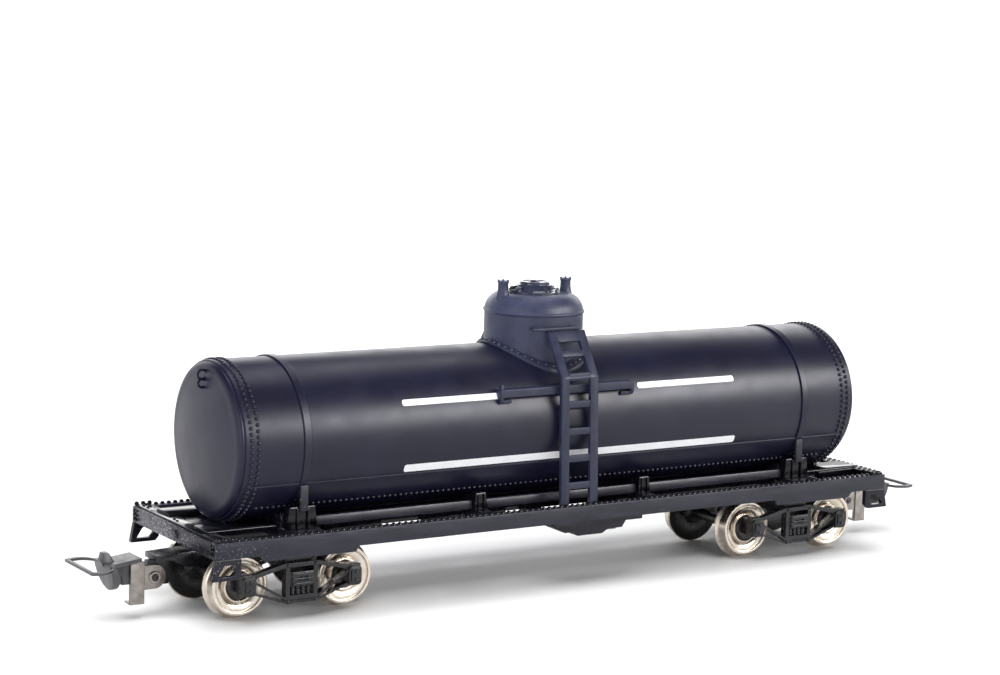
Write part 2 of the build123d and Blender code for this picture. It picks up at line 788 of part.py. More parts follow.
# Side platforms: a narrow shelf with a deep lip on the tank below the dome, a bracket at
# each end, and a post at the left one.
shelf_z = tank_z + shelf_rise
shelf_out_y = tank_r + ladder_gap - shelf_in
shelf_in_y = shelf_out_y - shelf_deep
for face_name, face in (("near", -1), ("far", 1)):
    with BuildPart() as shelf:
        with BuildSketch(Plane.YZ.offset(shelf_low_x)):
            with BuildLine():
                Polyline(
                    (face * shelf_in_y, shelf_z),
                    (face * shelf_out_y, shelf_z),
                    (face * shelf_out_y, shelf_z - shelf_face),
                    (face * (shelf_out_y - shelf_lip), shelf_z - shelf_face),
                    (face * (shelf_out_y - shelf_lip), shelf_z - shelf_thick),
                    (face * shelf_in_y, shelf_z - shelf_thick),
                    close=True,
                )
            make_face()
        extrude(amount=shelf_high_x - shelf_low_x)
        for x, up, toward in ((shelf_low_x, post_up, 1), (shelf_high_x, 0, -1)):
            with BuildSketch(Plane.YZ.offset(x)):
                with BuildLine():
                    Polyline(
                        (face * shelf_out_y, shelf_z + up),
                        (face * shelf_out_y, shelf_z - post_down),
                        (face * (shelf_out_y - shelf_lip), shelf_z - post_foot),
                        (face * shelf_in_y, shelf_z - post_foot),
                        (face * shelf_in_y, shelf_z - shelf_thick / 2),
                        (face * (shelf_out_y - 2 * shelf_lip), shelf_z - shelf_thick / 2),
                        (face * (shelf_out_y - 2 * shelf_lip), shelf_z + up),
                        close=True,
                    )
                make_face()
            extrude(amount=toward * shelf_post)
            with BuildSketch(Plane.YZ.offset(x)):
                with Locations((face * (shelf_out_y + shelf_in_y - shelf_lip) / 2, shelf_z - post_foot + shelf_thick / 2)):
                    Rectangle(shelf_deep - shelf_lip, shelf_thick)
            extrude(amount=toward * foot_long)
        with BuildSketch(Plane.YZ.offset(shelf_low_x - shelf_post)):
            with Locations((0, tank_z)):
                Circle(tank_r)
        extrude(amount=shelf_high_x - shelf_low_x + 2 * shelf_post, mode=Mode.SUBTRACT)
    save(shelf.part, f"side_platform_{face_name}")

# Dome handrails: a straight rod on two legs, the far one turned half round.
grab_z = dome_shoulder_z - grab_drop
grab_y = dome_r + grab_reach
for face_name, face in (("near", -1), ("far", 1)):
    with BuildPart() as grab:
        with BuildSketch(Plane.XY.offset(grab_z - grab_rod / 2)):
            with Locations((-face * (grab_low_x + grab_high_x) / 2, face * grab_y)):
                Rectangle(grab_high_x - grab_low_x, grab_rod)
            for x in (grab_low_x + grab_leg_in, grab_high_x - grab_leg_in):
                with Locations((-face * x, face * grab_y / 2)):
                    Rectangle(grab_rod, grab_y)
            Circle(dome_r, mode=Mode.SUBTRACT)
        extrude(amount=grab_rod)
    save(grab.part, f"dome_handrail_{face_name}")

# Bogies, wheelsets and couplers.
arch_top_z = axle_z + arch_rise
arch_low_z = axle_z - arch_drop
box_z = axle_z + box_rise
box_low_z = box_z - box_tall / 2
arch_end_z = axle_z + arch_end
box_in_y = wheel_out_y + box_gap
half_group = spring_wide / 2
for side_name, side in (("left", -1), ("right", 1)):
    mid_x = side * bogie_x
    # Bogie beam with the coupler tongue: bored for the pivot and the rivet.
    with BuildPart() as beam:
        with BuildSketch(Plane.XY.offset(tongue_low_z)):
            with Locations((mid_x, 0)):
                Rectangle(beam_wide, 2 * side_in_y)
        extrude(amount=beam_tall)
        with BuildSketch(Plane.XZ.offset(-tongue_wide / 2)):
            with BuildLine():
                Polyline(
                    (mid_x, tongue_low_z),
                    (mid_x, bogie_top_z),
                    (side * (bogie_x + axle_x), bogie_top_z),
                    (side * (rivet_x + play), bogie_top_z - tongue_thin / 3),
                    (side * (rivet_x + play), bogie_top_z - tongue_thin),
                    (side * (rivet_x - tongue_stop), bogie_top_z - tongue_thin),
                    (side * (rivet_x - 2 * tongue_stop), tongue_low_z),
                    close=True,
                )
            make_face()
        extrude(amount=tongue_wide)
        with BuildSketch(Plane.XY.offset(bogie_top_z)):
            with Locations((mid_x, 0)):
                Circle(centre_plate_dia / 2)
        extrude(amount=bolster_gap - play)
        with BuildSketch(Plane.XY.offset(rivet_z - tongue_lug_drop)):
            with Locations((side * (rivet_x - tongue_lug_long / 4), 0)):
                Rectangle(tongue_lug_long, tongue_lug)
        extrude(amount=bogie_top_z - tongue_thin - rivet_z + tongue_lug_drop)
        with BuildSketch(Plane.XY.offset(tongue_low_z - pivot_long)):
            with Locations((mid_x, 0)):
                Circle(pivot_dia / 2 + pin_play)
        extrude(amount=3 * pivot_long, mode=Mode.SUBTRACT)
        with BuildSketch(Plane.XZ.offset(-tongue_wide)):
            with Locations((side * rivet_x, rivet_z)):
                Circle(rivet_dia / 2 + pin_play)
        extrude(amount=2 * tongue_wide, mode=Mode.SUBTRACT)
    save(beam.part, f"bogie_{side_name}_beam")

    # Side frames: bent arch bar and lower bar, straight tie bar, two columns, the beam
    # end, a row of upright springs on a seat, and a journal box with a lid at each end.
    for face_name, face in (("near", -1), ("far", 1)):
        with BuildPart() as frame:
            with BuildSketch(Plane.XZ.offset(-face * side_out_y)):
                for low, high, thick in (
                    (arch_end_z - arch_bar, arch_top_z - arch_bar, arch_bar),
                    (arch_end_z - arch_bar - bar_gap - lower_bar, arch_low_z, lower_bar),
                    (box_low_z, arch_low_z - tie_gap - tie_bar, tie_bar),
                ):
                    with BuildLine():
                        Polyline(
                            (mid_x - axle_x - box_wide / 2, low),
                            (mid_x - axle_x - box_wide / 2, low + thick),
                            (mid_x - axle_x + box_wide / 2, low + thick),
                            (mid_x - half_group, high + thick),
                            (mid_x + half_group, high + thick),
                            (mid_x + axle_x - box_wide / 2, low + thick),
                            (mid_x + axle_x + box_wide / 2, low + thick),
                            (mid_x + axle_x + box_wide / 2, low),
                            (mid_x + axle_x - box_wide / 2, low),
                            (mid_x + half_group, high),
                            (mid_x - half_group, high),
                            (mid_x - axle_x + box_wide / 2, low),
                            close=True,
                        )
                    make_face()
                for edge in (-1, 1):
                    with Locations(
                        (mid_x + edge * (half_group - column_wide / 2), (arch_top_z + arch_low_z - tie_gap) / 2)
                    ):
                        Rectangle(column_wide, arch_top_z - arch_low_z + tie_gap)
            extrude(amount=face * (side_out_y - side_in_y))
            # beam end, standing a little proud of the columns
            with BuildSketch(Plane.XZ.offset(-face * (side_out_y + beam_end_out))):
                with Locations((mid_x, arch_top_z - beam_end_drop - beam_end_tall / 2)):
                    Rectangle(beam_end_wide, beam_end_tall)
                    Rectangle(beam_end_wide / 2, beam_end_tall / 3, mode=Mode.SUBTRACT)
            extrude(amount=face * (side_out_y + beam_end_out - side_in_y))
            # backing of the beam end, spring seat and springs
            with BuildSketch(Plane.XZ.offset(-face * side_out_y)):
                with Locations((mid_x, arch_top_z - beam_end_drop - beam_end_tall / 2)):
                    Rectangle(spring_wide, beam_end_tall)
                with Locations((mid_x, arch_low_z + lower_bar + seat_tall / 2)):
                    Rectangle(spring_wide, seat_tall)
            extrude(amount=face * (side_out_y - side_in_y))
            with BuildSketch(Plane.XY.offset(arch_low_z + lower_bar)):
                for k in range(coil_count):
                    coil_x = mid_x + (k - (coil_count - 1) / 2) * coil_step
                    with Locations((coil_x, face * (side_in_y + side_out_y) / 2)):
                        Circle(coil_dia / 2)
            extrude(amount=coil_tall + seat_tall)
            # journal boxes: rounded top, raised lid, bored for the axle pins
            with BuildSketch(Plane.XZ.offset(-face * box_out_y)):
                with Locations((mid_x - axle_x, box_z), (mid_x + axle_x, box_z)):
                    RectangleRounded(box_wide, box_tall, box_round)
            extrude(amount=face * (box_out_y - box_in_y))
            with BuildSketch(Plane.XZ.offset(-face * (box_out_y + lid_out))):
                with Locations((mid_x - axle_x, box_z), (mid_x + axle_x, box_z)):
                    RectangleRounded(lid_wide, lid_tall, box_round / 2)
            extrude(amount=face * 2 * lid_out)
            with BuildSketch(Plane.XZ.offset(-face * wheel_in_y)):
                with Locations((mid_x - axle_x, axle_z), (mid_x + axle_x, axle_z)):
                    Circle(pin_dia / 2 + pin_play)
            extrude(amount=-face * (pin_tip_y - wheel_in_y + play), mode=Mode.SUBTRACT)
        save(frame.part, f"bogie_{side_name}_side_{face_name}")

    # Wheelsets: metal tyres and dished discs on a black axle with hubs and pin ends.
    for end_name, end in (("a", -1), ("b", 1)):
        wheel_x = mid_x + end * axle_x
        with BuildPart() as wheels:
            for turn in (-1, 1):
                rim_r = tread_r - rim_tall
                disc_r = rim_r - groove_wide
                hub_r = hub_dia / 2
                with BuildSketch(Plane.XY):
                    with BuildLine():
                        Polyline(
                            (hub_r, turn * (wheel_in_y + back_plate)),
                            (back_dia / 2, turn * (wheel_in_y + back_plate)),
                            (back_dia / 2, turn * wheel_in_y),
                            (flange_r - flange_edge, turn * wheel_in_y),
                            (flange_r, turn * (wheel_in_y + flange_edge)),
                            (flange_r, turn * (wheel_in_y + 2 * flange_edge)),
                            (tread_r + tread_drop, turn * (wheel_in_y + flange_wide)),
                            (tread_r, turn * (wheel_in_y + flange_wide + flange_edge)),
                            (tread_r - tread_drop, turn * wheel_out_y),
                            (rim_r, turn * wheel_out_y),
                            (rim_r, turn * (wheel_out_y - groove_deep)),
                            (disc_r, turn * (wheel_out_y - groove_deep)),
                            (disc_r, turn * (wheel_out_y - groove_deep / 3)),
                            (hub_r + hub_ring_wide, turn * (wheel_out_y - dish_deep)),
                            (hub_r + hub_ring_wide, turn * (wheel_out_y - dish_deep / 3)),
                            (hub_r, turn * (wheel_out_y - dish_deep / 3)),
                            close=True,
                        )
                    make_face()
                revolve(axis=Axis.Y, revolution_arc=360)
        save(Pos(wheel_x, 0, axle_z) * wheels.part, f"wheels_{side_name}_{end_name}")
        with BuildPart() as axle:
            with BuildSketch(Plane.XY):
                with BuildLine():
                    Polyline(
                        (0, -pin_tip_y),
                        (pin_dia / 2, -pin_tip_y),
                        (pin_dia / 2, -wheel_out_y),
                        (hub_r - hub_cone, -wheel_out_y),
                        (hub_r, -wheel_out_y + hub_cone),
                        (hub_r, -wheel_in_y - back_plate),
                        (back_dia / 2, -wheel_in_y - back_plate),
                        (back_dia / 2, -wheel_in_y),
                        (hub_r, -wheel_in_y),
                        (axle_dia / 2, -wheel_in_y + hub_cone),
                        (axle_dia / 2, wheel_in_y - hub_cone),
                        (hub_r, wheel_in_y),
                        (back_dia / 2, wheel_in_y),
                        (back_dia / 2, wheel_in_y + back_plate),
                        (hub_r, wheel_in_y + back_plate),
                        (hub_r, wheel_out_y - hub_cone),
                        (hub_r - hub_cone, wheel_out_y),
                        (pin_dia / 2, wheel_out_y),
                        (pin_dia / 2, pin_tip_y),
                        (0, pin_tip_y),
                        close=True,
                    )
                make_face()
            revolve(axis=Axis.Y, revolution_arc=360)
        save(Pos(wheel_x, 0, axle_z) * axle.part, f"axle_{side_name}_{end_name}")

    # Coupler lever: a folded steel plate with a round lug that turns on the rivet.
    lever_in_x = rivet_x + lever_in
    lever_mid_x = side * (lever_in_x + lever_wide / 2)
    lever_low_z = rivet_z - lever_low
    lever_top_z = rivet_z + lever_high
    with BuildPart() as lever:
        with BuildSketch(Plane.XZ.offset(lever_y + lever_thick)):
            with Locations((lever_mid_x, (lever_low_z + lever_top_z) / 2)):
                Rectangle(lever_wide, lever_top_z - lever_low_z)
            with Locations((side * rivet_x, rivet_z)):
                Circle(lever_lug)
            with Locations((side * (rivet_x + lever_in / 2), rivet_z)):
                Rectangle(lever_in, 2 * lever_lug)
        extrude(amount=-lever_thick)
        with BuildSketch(Plane.YZ.offset(side * (lever_in_x + lever_wide))):
            for z in (lever_low_z + lever_fold / 2, lever_top_z - lever_fold / 2):
                with Locations((-lever_y + lever_fold_deep / 2, z)):
                    Rectangle(lever_fold_deep, lever_fold)
        extrude(amount=-side * lever_wide)
        with BuildSketch(Plane.XZ.offset(lever_y + lever_thick + rivet_head)):
            with Locations((side * rivet_x, rivet_z)):
                Circle(rivet_head_dia / 2)
        extrude(amount=-rivet_head)
        with BuildSketch(Plane.XZ.offset(lever_y)):
            with Locations((side * rivet_x, rivet_z)):
                Circle(rivet_dia / 2)
        extrude(amount=-2 * lever_y - lever_thick)
        with BuildSketch(Plane.XZ.offset(-lever_y)):
            with Locations((side * rivet_x, rivet_z)):
                Circle(rivet_head_dia / 2)
        extrude(amount=-lever_thick)
    save(lever.part, f"coupler_{side_name}_lever")

    # Coupler head: top plate, shank, rounded shield, small fin and the wide flat bow.
    plate_in_x = rivet_x + head_plate_in
    plate_out_x = rivet_x + head_plate_out
    plate_low_z = rivet_z + head_plate_rise
    plate_top_z = plate_low_z + head_plate_tall
    shank_in_x = rivet_x + shank_in
    bow_x = rivet_x + bow_out
    bow_z = plate_low_z - head_plate_fall
    shield_top_z = bow_z + head_plate_tall
    shield_low_z = shield_top_z - shield_tall
    with BuildPart() as hook:
        with BuildSketch(Plane.YZ.offset(side * (plate_out_x - shield_lean))):
            with BuildLine():
                Line((-shield_half, shield_top_z), (shield_half, shield_top_z))
                Line((shield_half, shield_top_z), (shield_half, shield_low_z + shield_half))
                ThreePointArc(
                    (shield_half, shield_low_z + shield_half),
                    (0, shield_low_z),
                    (-shield_half, shield_low_z + shield_half),
                )
                Line((-shield_half, shield_low_z + shield_half), (-shield_half, shield_top_z))
            make_face()
        extrude(amount=side * (shield_thick + shield_lean))
        with BuildSketch(Plane.XZ.offset(2 * shield_half)):
            with BuildLine():
                Polyline(
                    (side * (plate_out_x - 2 * shield_lean), shield_low_z),
                    (side * plate_out_x, shield_top_z),
                    (side * (plate_out_x - 2 * shield_lean), shield_top_z),
                    close=True,
                )
            make_face()
            with BuildLine():
                Polyline(
                    (side * (plate_out_x + shield_thick - shield_lean), shield_low_z),
                    (side * (plate_out_x + shield_thick), shield_top_z),
                    (side * (plate_out_x + 2 * shield_thick), shield_low_z),
                    close=True,
                )
            make_face()
        extrude(amount=-4 * shield_half, mode=Mode.SUBTRACT)
        with BuildSketch(Plane.XZ.offset(head_plate_half)):
            with BuildLine():
                Polyline(
                    (side * plate_in_x, plate_low_z),
                    (side * plate_in_x, plate_top_z),
                    (side * plate_out_x, shield_top_z),
                    (side * plate_out_x, bow_z),
                    close=True,
                )
            make_face()
        extrude(amount=-2 * head_plate_half)
        with BuildSketch(Plane.XZ.offset(shank_half)):
            with BuildLine():
                Polyline(
                    (side * shank_in_x, plate_low_z),
                    (side * shank_in_x, plate_low_z - shank_tall - shank_block_tall),
                    (side * (shank_in_x + shank_block), plate_low_z - shank_tall - shank_block_tall),
                    (side * (shank_in_x + shank_block), plate_low_z - shank_tall),
                    (side * (shank_in_x + 1.6 * shank_block), plate_low_z - 0.8 * shank_tall),
                    (side * plate_out_x, plate_low_z - shank_tall),
                    (side * plate_out_x, shield_top_z),
                    (side * plate_in_x, plate_top_z),
                    (side * plate_in_x, plate_low_z),
                    close=True,
                )
            make_face()
        extrude(amount=-2 * shank_half)
        with BuildSketch(Plane.XY.offset(plate_low_z - shank_tall)):
            with Locations((side * (lever_in_x + (shank_in - lever_in) / 2), (shank_half - lever_y) / 2)):
                Rectangle(shank_in - lever_in, shank_half + lever_y)
        extrude(amount=lever_top_z - lever_fold - play - plate_low_z + shank_tall)
        with BuildSketch(Plane.XZ.offset(fin_half)):
            with BuildLine():
                Polyline(
                    (side * (plate_out_x - fin_long * 0.36), shield_top_z - head_plate_tall / 2),
                    (side * (plate_out_x - fin_long * 0.36), shield_top_z + fin_high * 0.15),
                    (side * plate_out_x, shield_top_z + fin_high),
                    (side * (plate_out_x + fin_long * 0.4), shield_top_z + fin_high),
                    (side * (plate_out_x + fin_long * 0.56), shield_top_z + fin_high * 0.15),
                    (side * (plate_out_x + shield_thick), bow_z),
                    close=True,
                )
            make_face()
        extrude(amount=-2 * fin_half)
        root_x = plate_out_x + shield_thick / 2
        bend_x = root_x + (bow_x - root_x) * 0.44
        with BuildSketch(Plane.XY.offset(bow_z)):
            for mode, inset in ((Mode.ADD, 0), (Mode.SUBTRACT, bow_bar)):
                corner = (bow_x - inset, bow_half - inset)
                bend = (bend_x, bow_half + bow_bulge - inset)
                root = (root_x, bow_root - 1.3 * inset)
                with BuildLine():
                    for edge in (-1, 1):
                        ThreePointArc(
                            (side * root[0], edge * root[1]),
                            (side * bend[0], edge * bend[1]),
                            (side * corner[0], edge * corner[1]),
                        )
                        Line((side * root[0], edge * root[1]), (side * root[0], 0))
                        Line((side * corner[0], edge * corner[1]), (side * corner[0], 0))
                make_face(mode=mode)
        extrude(amount=bow_thick)
    save(hook.part, f"coupler_{side_name}_head")

print("parts written")
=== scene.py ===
import math
import bpy
from mathutils import Matrix, Vector


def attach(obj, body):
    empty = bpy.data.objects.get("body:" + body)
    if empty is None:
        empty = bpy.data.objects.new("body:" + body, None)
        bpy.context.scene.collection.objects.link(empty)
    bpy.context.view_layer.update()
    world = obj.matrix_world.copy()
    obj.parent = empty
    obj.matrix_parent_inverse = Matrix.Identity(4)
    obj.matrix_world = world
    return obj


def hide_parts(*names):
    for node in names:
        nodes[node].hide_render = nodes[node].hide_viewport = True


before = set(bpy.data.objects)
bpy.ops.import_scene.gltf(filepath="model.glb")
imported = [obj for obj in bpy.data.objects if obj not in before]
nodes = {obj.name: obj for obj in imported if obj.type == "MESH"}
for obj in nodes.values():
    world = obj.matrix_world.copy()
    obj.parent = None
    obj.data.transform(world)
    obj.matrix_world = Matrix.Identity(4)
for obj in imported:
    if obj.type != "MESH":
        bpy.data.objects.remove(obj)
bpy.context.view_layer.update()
mm = 0.001
weldReach = 0.002 * mm  # points nearer to each other than this become one
cutReach = 0.0005 * mm  # points nearer to a cutting plane than this lie on it
softAngle = 32  # degrees: flatter edges get no bevel and are shaded smooth
turnedAngle = 28  # the same for lathe work
upward = (0, 0, 1)
bothSides = (-1, 1)
sideNames = (("left", -1), ("right", 1))
faceNames = (("near", -1), ("far", 1))
print("frame loaded:", len(nodes), "nodes")


def toLinear(hexText):  # sRGB hex to the linear colour that a socket takes
    channels = [int(hexText[i:i + 2], 16) / 255 for i in (1, 3, 5)]
    return [c / 12.92 if c <= 0.04045 else ((c + 0.055) / 1.055) ** 2.4 for c in channels] + [1.0]


def addNode(tree, kind, settings=None, links=None):  # one shader node with its settings and links
    node = tree.nodes.new(kind)
    for key, value in (settings or {}).items():
        if hasattr(node, key) and key not in node.inputs:
            setattr(node, key, value)
        else:
            node.inputs[key].default_value = value
    for key, source in (links or {}).items():
        tree.links.new(source, node.inputs[key])
    return node


def plainFinish(name, colour, roughness, metallic=0.0, specular=0.5):
    material = bpy.data.materials.new(name)
    material.use_nodes = True
    shader = material.node_tree.nodes["Principled BSDF"]
    shader.inputs["Base Color"].default_value = toLinear(colour)
    shader.inputs["Roughness"].default_value = roughness
    shader.inputs["Metallic"].default_value = metallic
    shader.inputs["Specular IOR Level"].default_value = specular
    return material


# What the patches, the haze and the grain of all finishes share.
surface = {
    "patchCut": (0.35, 0.68), "patchDetail": 3.0, "patchRough": 0.55,
    "hazeCut": (0.3, 0.7), "hazeDetail": 4.0, "grainDetail": 2.0, "grainStrength": 0.6,
}

# Dust on the frame: pale specks that lie in drifts, more of them towards the left end.
dust = {
    "colour": "#80808a", "size": 0.34, "detail": 1.0, "driftTimes": 60, "driftDetail": 2.0,
    "cut": (0.47, 0.5), "more": 0.125, "moreFrom": -73, "moreTo": 20,
}
mixSockets = {"from": 6, "to": 7, "out": 2}  # the colour sockets of a Mix node


def dustOver(tree, place, colour):  # the colour with the specks laid over it
    specks = addNode(
        tree, "ShaderNodeTexNoise", {"Scale": 1 / (dust["size"] * mm), "Detail": dust["detail"]},
        {"Vector": place},
    )
    drift = addNode(
        tree, "ShaderNodeTexNoise",
        {"Scale": 1 / (dust["driftTimes"] * dust["size"] * mm), "Detail": dust["driftDetail"]},
        {"Vector": place},
    )
    both = addNode(
        tree, "ShaderNodeMath", {"operation": "MULTIPLY"},
        {0: specks.outputs["Fac"], 1: drift.outputs["Fac"]},
    )
    apart = addNode(tree, "ShaderNodeSeparateXYZ", None, {"Vector": place})
    lean = addNode(
        tree, "ShaderNodeMapRange",
        {
            "From Min": dust["moreFrom"] * mm, "From Max": dust["moreTo"] * mm,
            "To Min": dust["more"], "To Max": 0.0,
        },
        {"Value": apart.outputs["X"]},
    )
    dense = addNode(
        tree, "ShaderNodeMath", {"operation": "ADD"},
        {0: both.outputs["Value"], 1: lean.outputs["Result"]},
    )
    showing = addNode(
        tree, "ShaderNodeMapRange", {"From Min": dust["cut"][0], "From Max": dust["cut"][1]},
        {"Value": dense.outputs["Value"]},
    )
    dusty = addNode(tree, "ShaderNodeMix", {"data_type": "RGBA"}, {"Factor": showing.outputs["Result"]})
    tree.links.new(colour, dusty.inputs[mixSockets["from"]])
    dusty.inputs[mixSockets["to"]].default_value = toLinear(dust["colour"])
    return dusty.outputs[mixSockets["out"]]


def speckled(name, colour, roughness, tones, toneSize, hazeRange, hazeSize, grainHigh, grainSize,
             metallic=0.0, specular=0.5, stretch=1.0, dusty=False):
    # Two tones in soft patches, a gloss that varies and a grain; sizes are in mm. The real grain is finer
    # than a pixel, so it is drawn as coarse as it needs to show. Stretch draws it out along the car. The
    # plain colour and roughness stay under the patterns, for a viewer that shows no nodes.
    material = plainFinish(name, colour, roughness, metallic, specular)
    tree = material.node_tree
    shader = tree.nodes["Principled BSDF"]
    place = addNode(tree, "ShaderNodeTexCoord").outputs["Object"]
    drawnOut = addNode(tree, "ShaderNodeMapping", {"Scale": (1 / stretch, 1.0, 1.0)}, {"Vector": place})
    grainPlace = drawnOut.outputs["Vector"]
    patch = addNode(
        tree, "ShaderNodeTexNoise",
        {
            "Scale": 1 / (toneSize * mm), "Detail": surface["patchDetail"],
            "Roughness": surface["patchRough"],
        },
        {"Vector": grainPlace},
    )
    ramp = addNode(tree, "ShaderNodeValToRGB", None, {"Fac": patch.outputs["Fac"]})
    for stop, at, tone in zip(ramp.color_ramp.elements, surface["patchCut"], tones):
        stop.position = at
        stop.color = toLinear(tone)
    tone = ramp.outputs["Color"]
    if dusty:
        tone = dustOver(tree, place, tone)
    tree.links.new(tone, shader.inputs["Base Color"])
    haze = addNode(
        tree, "ShaderNodeTexNoise", {"Scale": 1 / (hazeSize * mm), "Detail": surface["hazeDetail"]},
        {"Vector": grainPlace},
    )
    spread = addNode(
        tree, "ShaderNodeMapRange",
        {
            "From Min": surface["hazeCut"][0], "From Max": surface["hazeCut"][1],
            "To Min": hazeRange[0], "To Max": hazeRange[1],
        },
        {"Value": haze.outputs["Fac"]},
    )
    tree.links.new(spread.outputs["Result"], shader.inputs["Roughness"])
    grain = addNode(
        tree, "ShaderNodeTexNoise", {"Scale": 1 / (grainSize * mm), "Detail": surface["grainDetail"]},
        {"Vector": grainPlace},
    )
    bump = addNode(
        tree, "ShaderNodeBump", {"Strength": surface["grainStrength"], "Distance": grainHigh * mm},
        {"Height": grain.outputs["Fac"]},
    )
    tree.links.new(bump.outputs["Normal"], shader.inputs["Normal"])
    return material


# Satin black paint sprayed on the moulded ABS tank: nearly black with a cold blue sheen.
tankPaint = speckled(
    "satinBlackPaintOnAbs", "#14142a", 0.36, tones=("#121227", "#181830"), toneSize=9.0,
    hazeRange=(0.33, 0.42), hazeSize=5.0, grainHigh=0.012, grainSize=0.35, specular=0.3,
)

# Bare moulded ABS of the dome and valves: the same black, duller, lighter and a little bluer.
domePlastic = speckled(
    "mouldedBlueBlackAbs", "#393d55", 0.46, tones=("#363950", "#3e425b"), toneSize=2.6,
    hazeRange=(0.38, 0.5), hazeSize=1.8, grainHigh=0.014, grainSize=0.3, specular=0.3,
)

# A darker run of the same ABS for the ladders, side platforms, handrails and the dome's flange.
ladderPlastic = speckled(
    "mouldedDarkBlueAbs", "#2a2d43", 0.42, tones=("#272a3f", "#2f3249"), toneSize=2.2,
    hazeRange=(0.36, 0.48), hazeSize=1.5, grainHigh=0.014, grainSize=0.3, specular=0.3,
)

# The same ABS from a polished mould on the hatch and the flange's rivets: bright light edges.
hatchPlastic = speckled(
    "polishedBlueBlackAbs", "#2c2f42", 0.16, tones=("#282b3d", "#333649"), toneSize=1.4,
    hazeRange=(0.1, 0.24), hazeSize=1.6, grainHigh=0.012, grainSize=0.5, specular=0.5,
)

# Black moulded styrene of the underframe: glossy, with flow marks along the car and specks of dust.
framePlastic = speckled(
    "mouldedBlackStyrene", "#12121d", 0.26, tones=("#0e0e18", "#1a1a27"), toneSize=1.6,
    hazeRange=(0.18, 0.38), hazeSize=1.1, grainHigh=0.04, grainSize=0.4, specular=0.28,
    stretch=5.0, dusty=True,
)

# The same styrene on the side sills, deck boards and strap ends: duller, and a lighter grey that is painted
# light, standing in for the light these faces catch.
sillPlastic = speckled(
    "dullBlackStyreneWithPaintedLight", "#262632", 0.34, tones=("#20202c", "#2c2c39"), toneSize=1.6,
    hazeRange=(0.26, 0.44), hazeSize=1.1, grainHigh=0.04, grainSize=0.4, specular=0.28,
    stretch=5.0, dusty=True,
)

# The same styrene from a polished mould on the end and cradle boards, posts and rivets: crisp light edges.
glossStyrene = speckled(
    "polishedBlackStyrene", "#0c0c12", 0.12, tones=("#0a0a0f", "#12121a"), toneSize=1.4,
    hazeRange=(0.08, 0.2), hazeSize=1.6, grainHigh=0.012, grainSize=0.5, specular=0.25,
)

# Black moulded nylon of the bogie frames: slightly duller than the underframe and finer grained.
bogiePlastic = speckled(
    "mouldedBlackNylon", "#131319", 0.3, tones=("#0f0f14", "#1b1b22"), toneSize=1.6,
    hazeRange=(0.2, 0.38), hazeSize=1.2, grainHigh=0.03, grainSize=0.3, specular=0.42,
)

# Black turned acetal of the axles, hubs and wheel backs: the warm brown cast of worn carbon.
axlePlastic = speckled(
    "turnedBlackAcetal", "#110f0e", 0.3, tones=("#0d0c0b", "#1a1614"), toneSize=1.2,
    hazeRange=(0.24, 0.4), hazeSize=0.9, grainHigh=0.01, grainSize=0.2,
)

# Grey moulded acetal of the coupler heads: matt, with a soft mould grain.
couplerPlastic = speckled(
    "mouldedGreyAcetal", "#434346", 0.4, tones=("#3c3c3f", "#4c4c50"), toneSize=2.2,
    hazeRange=(0.34, 0.5), hazeSize=1.0, grainHigh=0.015, grainSize=0.25,
)

# White pad-printed ink of the stripes: flat, even and a little cold.
whiteInk = speckled(
    "printedWhiteInk", "#f8f9fd", 0.42, tones=("#f2f3f8", "#fdfdff"), toneSize=4.0,
    hazeRange=(0.38, 0.5), hazeSize=3.0, grainHigh=0.004, grainSize=0.2,
)

# Nickel-plated turned brass of the tyres: broad smooth faces, warm and bright.
nickelPlate = speckled(
    "turnedNickelPlate", "#cdc3b6", 0.26, tones=("#c2b7a9", "#d8cfc4"), toneSize=2.5,
    hazeRange=(0.2, 0.32), hazeSize=2.5, grainHigh=0.0005, grainSize=0.6, metallic=1.0,
)

# Stamped and tumbled steel of the coupler levers: dull grey with a fine pitting.
stampedSteel = speckled(
    "tumbledStampedSteel", "#8b8580", 0.36, tones=("#807a75", "#96908b"), toneSize=1.5,
    hazeRange=(0.3, 0.44), hazeSize=0.8, grainHigh=0.006, grainSize=0.12, metallic=1.0,
)
print("materials made")


def startClean():
    if bpy.context.object and bpy.context.object.mode != "OBJECT":
        bpy.ops.object.mode_set(mode="OBJECT")
    bpy.ops.object.select_all(action="DESELECT")


def pickOnly(obj):  # nothing selected but this object, which is also the active one
    startClean()
    bpy.context.view_layer.objects.active = obj
    obj.select_set(True)


def editAll():  # edit mode with the whole mesh selected
    bpy.ops.object.mode_set(mode="EDIT")
    bpy.ops.mesh.select_all(action="SELECT")


def editTop(obj):  # edit mode with only the faces selected that look straight up
    bpy.ops.object.mode_set(mode="EDIT")
    bpy.ops.mesh.select_all(action="DESELECT")
    bpy.ops.object.mode_set(mode="OBJECT")
    for face in obj.data.polygons:
        face.select = face.normal.z > 0.9
    bpy.ops.object.mode_set(mode="EDIT")


def setPlace(obj):  # the object at the origin, its place in its mesh
    pickOnly(obj)
    bpy.ops.object.transform_apply(location=True, rotation=True, scale=True)
    return obj


def roundEdges(obj, edge, angle=softAngle, segments=2, clamp=False):
    # a bevel of the given width in mm, if any, and smooth shading
    if edge:
        pickOnly(obj)
        modifier = obj.modifiers.new("edges", "BEVEL")
        modifier.width = edge * mm
        modifier.segments = segments
        modifier.limit_method = "ANGLE"
        modifier.angle_limit = math.radians(angle)
        modifier.use_clamp_overlap = clamp
        modifier.harden_normals = False
        bpy.ops.object.modifier_apply(modifier=modifier.name)
    bpy.ops.object.shade_smooth_by_angle(angle=math.radians(angle))
    return obj


